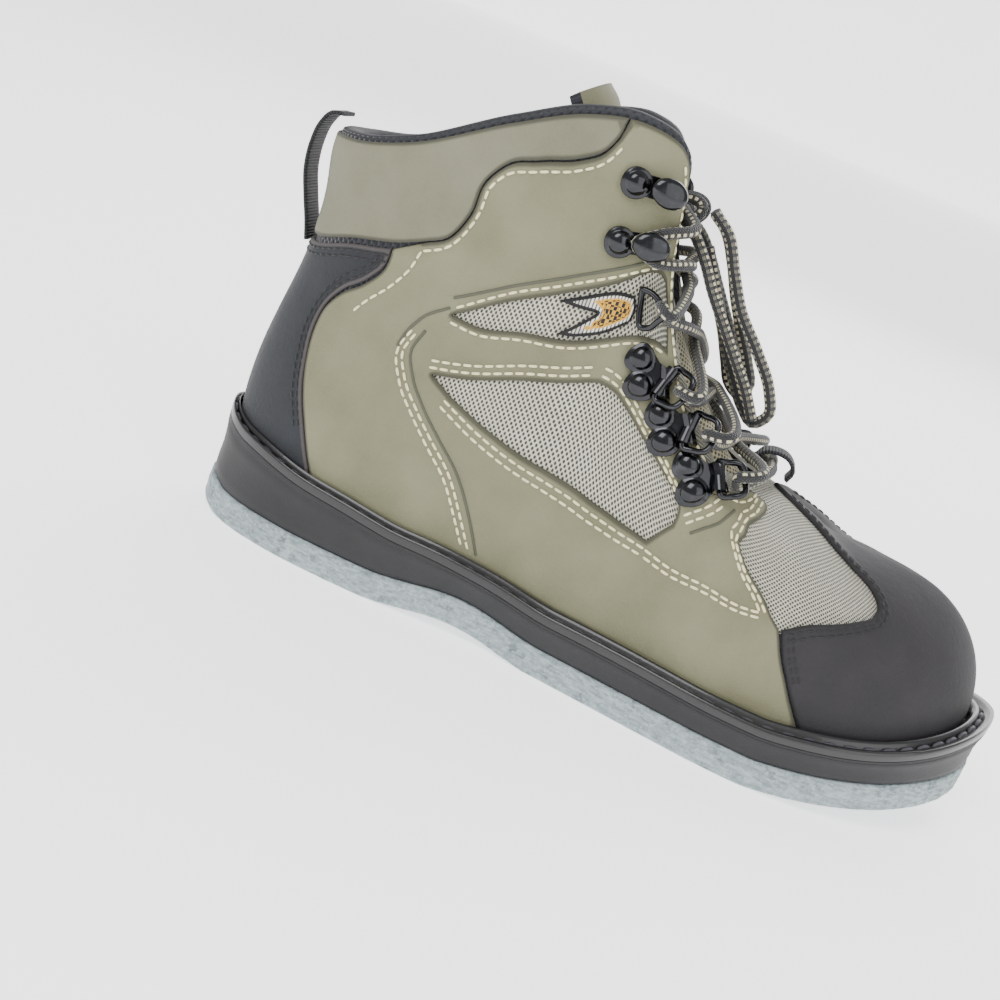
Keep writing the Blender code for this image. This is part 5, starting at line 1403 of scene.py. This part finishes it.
# %% Panels with rolled edges
ROLL = 0.9 * MM


def inset_line(loop, away):
    """Points beside a closed loop, on both sides of it, in flat coordinates."""
    scale = np.array([SIDE_REACH, WALL_REACH])
    line = loop * scale
    way = np.roll(line, -1, axis=0) - np.roll(line, 1, axis=0)
    way /= np.linalg.norm(way, axis=1, keepdims=True) + 1e-12
    out = np.column_stack([way[:, 1], -way[:, 0]])
    return [(line + sign * out * away) / scale for sign in (-1, 1)]


def panel_mesh(outline, holes, spacing, sewn=None):
    """Triangles over a panel, with rows close to its edges, and each point's distance from them."""
    scale = np.array([SIDE_REACH, WALL_REACH])
    low, high = outline.min(axis=0), outline.max(axis=0)
    across = [np.arange(low[c], high[c], spacing / scale[c]) for c in range(2)]
    grid = np.stack(np.meshgrid(*across), axis=-1).reshape(-1, 2)
    grid[:, 0] += 0.5 * spacing / scale[0] * (np.arange(len(grid)) // len(across[0]) % 2)
    loops = [outline, *holes]
    edge_points = np.vstack(loops)
    tree = KDTree(len(edge_points))
    for k, p in enumerate(edge_points * scale):
        tree.insert((*p, 0), k)
    tree.balance()
    near = lambda flat: np.array([tree.find((*p, 0))[2] for p in flat * scale])
    rows = []
    for away in (0.35 * ROLL, ROLL):
        for loop in loops:
            rows += [line[near(line) > 0.9 * away] for line in inset_line(loop, away)]
    rows.append(grid[near(grid) > ROLL + 0.5 * spacing])
    loose = np.vstack(rows)
    keep = inside(loose, outline)
    for hole in holes:
        keep &= ~inside(loose, hole)
    points = np.vstack([edge_points, loose[keep]])
    edges, start = [], 0
    for loop in loops:
        edges += [(start + k, start + (k + 1) % len(loop)) for k in range(len(loop))]
        start += len(loop)
    made = delaunay_2d_cdt([Vector(p * scale) for p in points], edges, [], 0, 1e-7)
    corners = np.array([tuple(v) for v in made[0]]) / scale
    middles = np.array([corners[list(f)].mean(axis=0) for f in made[2]])
    keep = inside(middles, outline)
    for hole in holes:
        keep &= ~inside(middles, hole)
    faces = [tuple(f) for f, k in zip(made[2], keep) if k]
    free = np.array([p for p in edge_points if sewn is None or not sewn(p)])
    tree = KDTree(len(free))
    for k, p in enumerate(free * scale):
        tree.insert((*p, 0), k)
    tree.balance()
    away = np.array([tree.find((*p, 0))[2] for p in corners * scale])
    return corners, faces, away


def rolled(away):
    """How far the outer face drops towards a cut edge."""
    near = np.clip(1 - away / ROLL, 0, 1)
    return -0.75 * ROLL * (1 - np.sqrt(1 - near**2))


def panel(name, outline, holes, paint, stands_for, side=None, spacing=2.6 * MM, proud=0.0):
    corners, faces, away = panel_mesh(outline, holes, spacing)
    thin = edge_thin(np.abs(corners[:, 0]), corners[:, 1])
    outer = on_wall(corners, proud + rolled(away) * thin, side)
    inner = on_wall(corners, -OVERLAY * thin, side)
    points, solid = thicken(outer, inner, faces)
    spread = np.column_stack([corners * (SIDE_REACH / MM, WALL_REACH / MM), away / MM])
    return piece(name, points, solid, paint, stands_for, np.tile(spread, (2, 1)))


STEP = 1.6 * MM
heel = COUNTER_FRONT[0][0]
front = run_line(COUNTER_FRONT, STEP)
rows = [run_line([(-heel, OVERLAY_FOOT), (heel, OVERLAY_FOOT)], STEP)[:-1], front[:-1]]
rows += [run_line(COUNTER_TOP, STEP)[:-1], np.array(mirrored(front))[:-1]]
panel("nubuck heel counter", np.vstack(rows), [], NAVY, "heel_counter", proud=0.2 * MM)

seam = run_line(CUFF_SEAM, STEP)
brim = 0.985
top = run_line([(CUFF_SEAM[-1][0], brim), (-CUFF_SEAM[-1][0], brim)], STEP)
foot = run_line(CUFF_FOOT, STEP)
rows = [foot[:-1], seam[:-1], top[:-1], np.array(mirrored(seam))[:-1]]
panel("nubuck collar cuff", np.vstack(rows), [], CUFF, "collar_cuff")

# The leather parts meet here, edge to edge, where the frame leaves room between them
QUARTER_BACK = tuple((station - 0.0085, level) for station, level in QUARTER_BACK)
QUARTER_TOP = tuple((station + 0.001, level - 0.004) for station, level in CUFF_SEAM[1:-1])
QUARTER_FRONT = ((0.358, 0.984), (0.392, 0.984), (0.424, 0.975), *QUARTER_FRONT[3:])
QUARTER_END = ((0.672, 0.318), (0.680, 0.236), (0.693, 0.160), (0.722, 0.016))
for side in SIDES:
    bottom = run_line([QUARTER_END[-1], QUARTER_BACK[0]], STEP)
    edges = [QUARTER_BACK, QUARTER_TOP, QUARTER_FRONT, QUARTER_NOSE, QUARTER_END]
    loop = np.vstack([*[run_line(edge, STEP) for edge in edges], bottom[1:-1]])
    holes = [closed_line(window, STEP) for window in (MESH_WINDOW, STRAP_WINDOW)]
    apart = np.r_[True, np.hypot(*(np.diff(loop, axis=0) * (SIDE_REACH, WALL_REACH)).T) > 0.4 * MM]
    panel("olive quarter " + side, loop[apart], holes, OLIVE, "quarter_" + side, side=side)

# %% Toe cap
cap = [run_line(TOE_CAP_BACK, STEP)[:-1], run_line(TOE_CAP_TOP, STEP)[:-1]]
cap += [run_line([(0.700, 0.930), (0.697, 1.0)], STEP)[:-1]]
cap += [run_line([(0.697, 1.0), (1.0, 1.0)], 2 * STEP)[:-1]]
cap += [run_line([(1.0, 1.0), (1.0, OVERLAY_FOOT)], 2 * STEP)[:-1]]
cap += [run_line([(1.0, OVERLAY_FOOT), (TOE_CAP_BACK[0][0], OVERLAY_FOOT)], STEP)[:-1]]
middle_line = lambda p: p[0] > 0.999 or (p[1] > 0.999 and p[0] > 0.70)
corners, faces, away = panel_mesh(np.vstack(cap), [], 2.6 * MM, middle_line)
drop = rolled(away)
outside = lambda station, level: 0.2 * MM + drop
within_cap = lambda station, level: 0 * station - OVERLAY
points, solid, spread, kinds = halves(corners, faces, (outside, within_cap), away / MM)
piece("nubuck toe cap", points, solid, CHARCOAL, "toe_cap", spread)
print("panels made")

# %% [markdown]
# ## Seams
# Rows of stitches follow the edges of the panels, a few millimetres inside them. Each stitch is a short
# thread that dips at both ends. The cream rows are double where two panels meet.

# %% Stitch rows
def beside(line, away):
    """A line moved sideways by a distance, in flat coordinates."""
    scale = np.array([SIDE_REACH, WALL_REACH])
    flat = np.array(line) * scale
    way = np.gradient(flat, axis=0)
    way /= np.linalg.norm(way, axis=1, keepdims=True) + 1e-12
    return (flat + np.column_stack([-way[:, 1], way[:, 0]]) * away * MM) / scale


def seam_row(line, side=None, long=3.0, gap=0.9, radius=0.5, lift=0.12):
    """Stitches along a line of station and level."""
    line = run_line(line, 0.8 * MM)
    place = on_wall(line, lift * MM, side)
    above = on_wall(line, (lift + 1) * MM, side)
    run = np.r_[0, np.cumsum(np.linalg.norm(np.diff(place, axis=0), axis=1))]
    spot = lambda at, rows: np.array([np.interp(at, run, rows[:, c]) for c in range(3)])
    made = []
    for start in np.arange(0.4 * MM, run[-1] - long * MM, (long + gap) * MM):
        a, b = spot(start, place), spot(start + long * MM, place)
        out = spot(start, above) - a
        made.append(stitch(a, b, out / np.linalg.norm(out), radius * MM))
    return made


CREAM_ROWS = (
    # line, distances beside it
    (((0.435, 0.724), (0.397, 0.667), (0.353, 0.629), (0.303, 0.598), (0.256, 0.552)), (0.0,)),
    (
        (
            (0.256, 0.520), (0.291, 0.500), (0.327, 0.503), (0.379, 0.503), (0.430, 0.545),
            (0.498, 0.655),
        ),
        (0.0,),
    ),
    (((0.252, 0.408), (0.300, 0.417), (0.343, 0.435), (0.384, 0.447), (0.412, 0.462)), (0.0, 1.9)),
    (((0.412, 0.462), (0.440, 0.456), (0.481, 0.446), (0.518, 0.441), (0.556, 0.412)), (0.0, 1.9)),
    (
        (
            (0.278, 0.345), (0.326, 0.286), (0.380, 0.243), (0.436, 0.223), (0.475, 0.226),
            (0.521, 0.244),
        ),
        (0.0, -1.9),
    ),
    (((0.521, 0.244), (0.551, 0.253), (0.596, 0.296), (0.634, 0.330), (0.660, 0.350)), (0.0, -1.9)),
    (((0.558, 0.380), (0.572, 0.430), (0.590, 0.500), (0.606, 0.585), (0.616, 0.640)), (0.0, 1.9)),
    (((0.206, 0.690), (0.200, 0.640), (0.186, 0.592), (0.166, 0.545), (0.150, 0.490)), (0.0,)),
    (
        (
            (0.228, 0.481), (0.221, 0.436), (0.232, 0.373), (0.255, 0.306), (0.279, 0.251),
            (0.309, 0.185), (0.332, 0.110), (0.352, 0.040),
        ),
        (0.0, -2.0),
    ),
)
cream, dark = [], []
# rows of stitches across the large mesh window: from one station to another, at a level
MESH_ROWS = ((0.285, 0.546, 0.385), (0.315, 0.545, 0.357), (0.345, 0.538, 0.328), (0.385, 0.528, 0.300))
for side in SIDES:
    for line, aways in CREAM_ROWS:
        for away in aways:
            fine = run_line(line, 2 * MM)
            cream += seam_row(beside(fine, away), side)
    cream += seam_row(beside(run_line(QUARTER_FRONT[2:], 2 * MM), -3.2), side)
    cream += seam_row(beside(run_line(QUARTER_TOP, 2 * MM), -2.4), side)
    for away in (-2.0, -4.0):
        cream += seam_row(beside(run_line(QUARTER_NOSE[1:], 2 * MM), away), side)
    for away in (2.2, 4.4):
        cap_edge = np.vstack([run_line(TOE_CAP_BACK[1:], 2 * MM)[:-1], run_line(TOE_CAP_TOP, 2 * MM)])
        dark += seam_row(beside(cap_edge, -away), side, 2.6, 0.9, 0.4, 0.25)
for away in (2.0, 4.2):
    dark += seam_row(beside(run_line(COUNTER_TOP, 2 * MM), away), None, 2.6, 0.9, 0.4, 0.25)
    for side in SIDES:
        dark += seam_row(beside(run_line(COUNTER_FRONT[1:], 2 * MM), away), side, 2.6, 0.9, 0.4, 0.25)
    # known fault: this loop stands one level too deep, so the rows land twice, and on the last side only
    for s0, s1, level in MESH_ROWS:
        arc = ((s0, level), (0.5 * (s0 + s1), level + 0.008), (s1, level + 0.004))
        cream += seam_row(arc, side, 2.2, 1.6, 0.36, -1.35)
points, faces, flat = join(cream)
piece("cream stitches", points, faces, CREAM, (), flat)
points, faces, flat = join(dark)
piece("dark stitches", points, faces, DARK_THREAD, (), flat)
print("stitches:", len(cream), "cream,", len(dark), "dark")

# %% Folded seams and the collar's binding
FOLDS = (
    ((0.435, 0.742), (0.397, 0.685), (0.353, 0.646), (0.303, 0.614), (0.252, 0.576)),
    (
        (0.236, 0.490), (0.229, 0.440), (0.240, 0.378), (0.262, 0.312), (0.287, 0.256),
        (0.317, 0.190), (0.340, 0.118), (0.361, 0.040),
    ),
    ((0.566, 0.375), (0.580, 0.425), (0.598, 0.495), (0.614, 0.582), (0.624, 0.640)),
    ((0.252, 0.552), (0.228, 0.520), (0.218, 0.480), (0.214, 0.444)),
)
folds = []
for side in SIDES:
    for line in FOLDS:
        fine = run_line(line, 2 * MM)
        folds.append(tube(on_wall(fine, 0.05 * MM, side), 0.55 * MM, 8))
points, faces, flat = join(folds)
piece("folded seams", points, faces, SEAM, (), flat)

BINDING_SIDES = 14
BINDING_SIZE = 1.9  # times as thick as the tube it starts from, and twice that outwards
around = np.linspace(-0.425, 0.425, 180)
level = np.full(180, 0.994)
rim_line = np.column_stack([around, level])
middle = -(shell_depth(np.abs(around)) + 0.45 * wall_at(np.abs(around), level))
core = on_wall(rim_line, middle)
points, faces, flat = tube(core, 1.0 * MM, BINDING_SIDES)
ring_middle = np.repeat(core, BINDING_SIDES, axis=0)
outward = on_wall(rim_line, middle + 1 * MM) - core
outward /= np.linalg.norm(outward, axis=1, keepdims=True)
outward = np.repeat(outward, BINDING_SIDES, axis=0)
off = (points - ring_middle) * BINDING_SIZE
points = ring_middle + off + outward * np.sum(off * outward, axis=1, keepdims=True)
piece("collar binding", points, faces, BINDING, (), flat)
print("folds:", len(folds), "binding points:", len(points))

# %% Tongue
rows = np.array(TONGUE)
run = np.linspace(0, len(rows) - 1, 61)
fine = np.stack([through(np.arange(len(rows)), rows[:, c])(run) for c in range(6)], axis=1)
across = np.linspace(-1, 1, 25)
middle = fine[:, :2] * (LENGTH, COLLAR_HEIGHT)
along = np.gradient(middle, axis=0)
along /= np.linalg.norm(along, axis=1, keepdims=True)
normal = np.column_stack([along[:, 1], -along[:, 0]])
normal *= np.sign(normal[:, 1:2] + normal[:, :1])
outer, inner, spread = [], [], []
walked = np.r_[0, np.cumsum(np.linalg.norm(np.diff(middle, axis=0), axis=1))]
for (x, z), n, far, (half, mid, drop, thick) in zip(middle, normal, walked, fine[:, 2:]):
    side = mid * BALL_WIDTH + across * half * THROAT_WIDTH
    swell = 0.6 * MM * np.cos(far / (11 * MM) * 2 * math.pi) * (1 - across**2) if far > 0.11 else 0 * across
    sunk = drop * TONGUE_PAD * across**2 - swell * 0.5
    thin = thick * TONGUE_PAD * (1 - 0.45 * across**4)
    for y, s, t, a in zip(side, sunk, thin, across):
        outer.append((x - n[0] * s, y, z - n[1] * s))
        inner.append((x - n[0] * (s + t), y, z - n[1] * (s + t)))
        spread.append((far / MM, y / MM, 9))
w = len(across)
faces = quads(61, w, closed=False)
points, solid = thicken(np.array(outer), np.array(inner), faces)
kinds = np.zeros(len(solid), int)
kinds[len(faces) :] = 1
top_band = [k for k, f in enumerate(faces) if f[0] // w > 50]
kinds[top_band] = 2
paints = [GUSSET, LINING, OLIVE]
tongue = piece("padded tongue", points, solid, paints, "tongue", np.tile(spread, (2, 1)), kinds)
print("tongue made")

# %% [markdown]
# ## Webbing and metal
# Black tape makes the pull loop and the toe loop. A yellow striped tape runs through its window and holds
# a ring. The plates, D-rings and hooks are painted gunmetal, with a dome on each rivet.

# %% Bands
def band(name, rows, height, middle, width, thickness):
    line = smooth_path([(a * LENGTH, middle, u * height) for a, u in rows], 1.5 * MM)
    along = np.gradient(line, axis=0)
    along /= np.linalg.norm(along, axis=1, keepdims=True)
    out = np.cross(along, (0, 1, 0))
    run = np.r_[0, np.cumsum(np.linalg.norm(np.diff(line, axis=0), axis=1))] / MM
    section = [(-1, 0.35), (-0.94, 0.9), (-0.8, 1), (0, 1), (0.8, 1), (0.94, 0.9), (1, 0.35)]
    section += [(a, -b) for a, b in section[::-1]]
    points, flat = [], []
    for p, o, r in zip(line, out, run):
        for a, b in section:
            points.append(p + o * thickness / 2 * b + np.array([0, a * width / 2, 0]))
            flat.append((r, a * width / 2 / MM, (1 - abs(a)) * width / 2 / MM))
    n = len(section)
    faces = quads(len(line), n)
    faces += [tuple(range(n - 1, -1, -1)), tuple(range((len(line) - 1) * n, len(line) * n))]
    piece(name.replace("loop", "tape"), points, faces, BLACK_TAPE, name, flat)


band("pull_loop", PULL_LOOP, BACK_HEIGHT, 0, PULL_WIDTH, STRAP)
band("toe_loop", TOE_LOOP, INSTEP_HEIGHT, TOE_LOOP_MIDDLE, TOE_LOOP_WIDTH, STRAP)

# %% Straps and rings
DOME = (  # the share of a rivet's radius and of its height, from its foot to its top
    *((1.0, 0.0), (1.0, 0.36), (0.95, 0.42), (0.78, 0.43), (0.72, 0.50)),
    *((0.66, 0.68), (0.53, 0.84), (0.36, 0.94), (0.14, 1.0), (0, 1)),
)
RIVET_DOME = 0.66 * RIVET


def dome(side, spot, frame, ahead, across, radius, high):
    """A rivet's dome on the upper."""
    rings, count = len(DOME), 24
    points = []
    for wide, rise in DOME:
        turn = np.linspace(0, 2 * math.pi, count, endpoint=False)
        a = ahead + radius * wide * np.cos(turn)
        b = across + radius * wide * np.sin(turn)
        points.append(draped(side, spot, frame, a, b, np.full(count, HARD_SEAT + high * rise)))
    faces = quads(rings - 1, count)
    top = (rings - 2) * count
    faces += [tuple(range(top, top + count)), tuple(range(count - 1, -1, -1))]
    return np.vstack(points), faces


def knob(spot, ahead, across, out):
    """The rounded head of a hook, over the frame's faceted one."""
    rows, count = 10, 24
    points = []
    for turn_up in np.linspace(-math.pi / 2, math.pi / 2, rows):
        wide, rise = max(math.cos(turn_up), 0.05) ** 0.7, math.sin(turn_up)
        for turn in np.linspace(0, 2 * math.pi, count, endpoint=False):
            flat_part = ahead * (0.80 * math.cos(turn) + 0.05) + across * 0.62 * math.sin(turn)
            points.append(spot + flat_part * RIVET * wide + out * HOOK_HEIGHT * (0.80 + 0.24 * rise))
    faces = quads(rows, count)
    faces += [tuple(range(count - 1, -1, -1)), tuple(range((rows - 1) * count, rows * count))]
    return np.array(points), faces


def hook_frame(side, rivet, head):
    """The spot under a hook's head, and the ways ahead, across and out there."""
    frame = surface_frame(side, rivet, head)
    spot = draped(side, rivet, frame, np.array([HOOK_REACH]), np.zeros(1), np.array([HARD_SEAT]))[0]
    beyond = np.array(head) + 0.5 * (np.array(head) - rivet)
    _, ahead, across, out, _ = surface_frame(side, head, beyond)
    return spot, ahead, across, out


places = {}
for side in SIDES:
    outline = closed_line(STRAP_V, 1.2 * MM)
    corners, faces, away = panel_mesh(outline, [], 1.3 * MM)
    outer = on_wall(corners, STRAP - OVERLAY + rolled(away), side)
    inner = on_wall(corners, -OVERLAY, side)
    points, solid = thicken(outer, inner, faces)
    spread = np.column_stack([corners * (SIDE_REACH / MM, WALL_REACH / MM), away / MM])
    spread = np.tile(spread, (2, 1))
    piece("striped tape " + side, points, solid, TAPE, "web_strap_" + side, spread)
    rows = np.array(STRAP_RING)
    path = surface(side, rows[:, 0], rows[:, 1], 0.5 * WIRE + GAP - OVERLAY + rows[:, 2] * HOOK_HEIGHT)
    loop = smooth_path(np.vstack([path, path[:1]]), 0.8 * MM)[:-1]
    points, faces, flat = tube(loop, WIRE / 2, 12, closed=True)
    piece("tape ring " + side, points, faces, METAL, "web_ring_" + side, flat)
    tip, foot_row = STRAP_RING[RING_TIP], STRAP_RING[RING_FOOT]
    _, ahead, _, out, _ = surface_frame(side, tip[:2], (2 * tip[0] - foot_row[0], tip[1] + 0.05))
    places[side, "strap"] = (path[RING_TIP], ahead, out)
    rivets_made = []
    for number, (rivets, barrel) in enumerate(PLATES, start=1):
        here, ahead, across, out = barrel_frame(side, rivets, barrel)
        rows = BOW + tuple((a, -b, o) for a, b, o in BOW[-2::-1])
        clear = GAP + BARREL / 2
        path = []
        for a, b, o in rows:
            wide = np.sign(b) * max(abs(b) * BARREL, clear if b else 0)
            path.append(here + ahead * a * RING_REACH + across * wide + out * o * WIRE)
        bow_path = smooth_path(path, 0.7 * MM)
        bar_path = np.linspace(path[0], path[-1], 12)
        points, faces, flat = join([tube(bow_path, WIRE / 2, 12), tube(bar_path, 0.42 * WIRE, 12)])
        piece(f"D-ring {side} {number}", points, faces, METAL, f"lace_ring_{side}_{number}", flat)
        places[side, number] = (here + ahead * RING_REACH + out * BOW_RISE * WIRE, ahead, out)
        frame_here = surface_frame(side, rivets, barrel)
        for sign in (-1, 1):
            beside = sign * RIVET_PITCH / 2
            rivets_made.append(dome(side, rivets, frame_here, 0, beside, RIVET_DOME, 3.1 * PLATE))
        barrel_path = [here + across * share * BARREL * 0.51 for share in np.linspace(-1, 1, 9)]
        rivets_made.append(tube(barrel_path, 1.12 * WIRE, 20)[:2])
    for rivet, head in HOOKS:
        frame_here = surface_frame(side, rivet, head)
        rivets_made.append(dome(side, rivet, frame_here, 0, 0, RIVET_DOME, 3.2 * PLATE))
        rivets_made.append(knob(*hook_frame(side, rivet, head)))
    points, faces, flat = join(rivets_made)
    piece("rivets " + side, points, faces, METAL, (), flat)
    for name, (rivet, head) in zip(("upper", "lower"), HOOKS):
        spot, ahead, across, out = hook_frame(side, rivet, head)
        places[side, name] = (spot, ahead, across * np.sign(across[2]), out)
for node_name, node in nodes.items():
    if "plate" in node_name or "hook" in node_name:
        node.data.materials.clear()
        node.data.materials.append(METAL)
        node.data.shade_smooth()
        node.data.set_sharp_from_angle(angle=math.radians(40))
print("places for the lace on rings and hooks:", len(places))

# %% [markdown]
# ## The lace
# One lace runs from the bar over the toe loop up both sides: under each ring's bow, round it and back
# over the tongue to the other side, then round the lower hooks to the knot. The bow's loops and ends hang
# down over it.

# %% Laced part
low_bar = np.array([TOE_BAR[0] * LENGTH, TOE_LOOP_MIDDLE, TOE_BAR[1] * INSTEP_HEIGHT])
names = list(SIDES)
other = {"lateral": "medial", "medial": "lateral"}
off_bow = WIRE / 2 + LACE / 2 + 0.1 * MM


def round_bow(place):
    """From below a bow, round it inside the ring, to above it."""
    point, ahead, out = place
    return [point - out * off_bow, point - ahead * off_bow, point + out * off_bow]


KNOT_OUT = np.array([0.9, 0, 0.43])
KNOT_OUT /= np.linalg.norm(KNOT_OUT)
KNOT = over_tongue(np.array([0.401 * LENGTH, 0, 0.839 * COLLAR_HEIGHT]), KNOT_DEPTH + KNOT_ROOM)
beside_loop = np.array([0, TOE_LOOP_WIDTH, 0])
strands = []
for start_side, turn in ((names[0], 0), (names[1], 1)):
    side, sign = start_side, SIDES[start_side]
    route = [low_bar, low_bar + beside_loop * sign]
    route += round_bow(places[side, 3])
    for low, high in ((3, 2), (2, 1), (1, "strap"), ("strap", "lower")):
        centre = sum(places[s, key][0] for s in SIDES for key in (low, high)) / 4
        lift = LACE / 2 + CROSS_SEAT + (0.55 * LACE if turn else 0)
        if low == "strap":
            route.append(past_edge(side, route[-1], centre))
        route.append(over_tongue(centre, lift))
        side = other[side]
        if high == "lower":
            spot, ahead, up_hook, out = places[side, "lower"]
            level_here = spot + out * 0.34 * HOOK_HEIGHT
            below = level_here - up_hook * (0.26 * RIVET + LACE / 2) + ahead * 0.3 * RIVET
            behind = level_here - ahead * (0.26 * RIVET + LACE / 2)
            above = level_here + up_hook * (0.26 * RIVET + LACE / 2) + ahead * 0.3 * RIVET
            route.append(past_edge(side, below, centre))
            route += [below, behind, above]
        else:
            if high == "strap":
                route.append(past_edge(side, places[side, "strap"][0], centre))
            route += round_bow(places[side, high])
    at_knot = KNOT + (0, SIDES[side] * 0.7 * KNOT_ACROSS, 0)
    route += [past_edge(side, route[-1], at_knot), at_knot + (0, SIDES[side] * LACE, 0), at_knot]
    strands.append(tube(smooth_path(route, 1.0 * MM), LACE / 2, 12))
points, faces, flat = join(strands)
laced = [n for n in nodes if n.startswith(("lace_cross", "lace_lead"))]
piece("laced part", points, faces, LACE_PAINT, laced, flat)

# %% Knot
turns = []
up_knot = np.array([-KNOT_OUT[2], 0, KNOT_OUT[0]])
for shift, size, lean in ((-0.42, 0.86, 0.35), (0.42, 0.86, -0.35), (0.0, 1.0, 0.0)):
    angle = np.linspace(0, 2 * math.pi, 40, endpoint=False)
    ring = KNOT + np.outer(np.cos(angle), KNOT_OUT * (KNOT_DEPTH - LACE / 2) * size)
    ring += np.outer(np.sin(angle), up_knot * (KNOT_UP - LACE / 2) * size)
    ring[:, 1] += shift * KNOT_ACROSS + lean * np.sin(angle) * KNOT_ACROSS * 0.6
    turns.append(tube(ring, LACE / 2, 12, closed=True))
core = np.array([KNOT + (0, s * KNOT_ACROSS * 0.7, 0) for s in np.linspace(-1, 1, 12)])
turns.append(tube(core, 0.62 * LACE, 12))
points, faces, flat = join(turns)
piece("bow knot", points, faces, LACE_PAINT, "lace_knot", flat)

# %% Loops and ends
for name, rows in CORDS.items():
    line = smooth_path(np.array(rows) * MM, 2.0 * MM)
    points, faces, flat = tube(line, LACE / 2, 12)
    made = piece(name.replace("lace", "bow"), points, faces, LACE_PAINT, name, flat)
print("lace made")

# %% [markdown]
# ## The floor and the light
# A product shot has no corner to see: the floor is one white sheet, with a second one far behind it, and
# the light comes from three large soft boxes. The sheets glow a little, so that the paper comes out
# almost white.

# %% Floor
bpy.ops.mesh.primitive_plane_add(size=60, location=(0, 0, 0))
floor = bpy.context.object
floor.name = "floor"
floor_paint = bpy.data.materials.new("matt white paper")
floor_paint.use_nodes = True
floor_shader = floor_paint.node_tree.nodes["Principled BSDF"]
floor_shader.inputs["Base Color"].default_value = (0.92, 0.92, 0.92, 1)
floor_shader.inputs["Roughness"].default_value = 0.95
floor_shader.inputs["Emission Color"].default_value = (1, 1, 1, 1)
floor_shader.inputs["Emission Strength"].default_value = 1.3
floor.data.materials.append(floor_paint)
bpy.ops.mesh.primitive_plane_add(size=60, location=(0, 25, 0), rotation=(math.radians(90), 0, 0))
backdrop = bpy.context.object
backdrop.name = "backdrop"
backdrop.data.materials.append(floor_paint)

# %% Lights
def soft_box(name, place, size, power):
    """A square lamp that faces the boot."""
    data = bpy.data.lights.new(name, "AREA")
    data.shape = "SQUARE"
    data.size = size
    data.energy = power
    lamp = bpy.data.objects.new(name, data)
    bpy.context.scene.collection.objects.link(lamp)
    lamp.location = place
    aim = Vector((0.1, 0, 0.08)) - Vector(place)
    lamp.rotation_euler = aim.to_track_quat("-Z", "Y").to_euler()


soft_box("key", (-0.5, -1.1, 1.3), 1.0, 24)
soft_box("fill", (1.1, -0.9, 0.7), 1.2, 10)
soft_box("rim", (0.4, 1.2, 1.1), 1.2, 14)

world = bpy.context.scene.world or bpy.data.worlds.new("world")
bpy.context.scene.world = world
world.use_nodes = True
world.node_tree.nodes["Background"].inputs["Color"].default_value = (1, 1, 1, 1)
world.node_tree.nodes["Background"].inputs["Strength"].default_value = 0.7
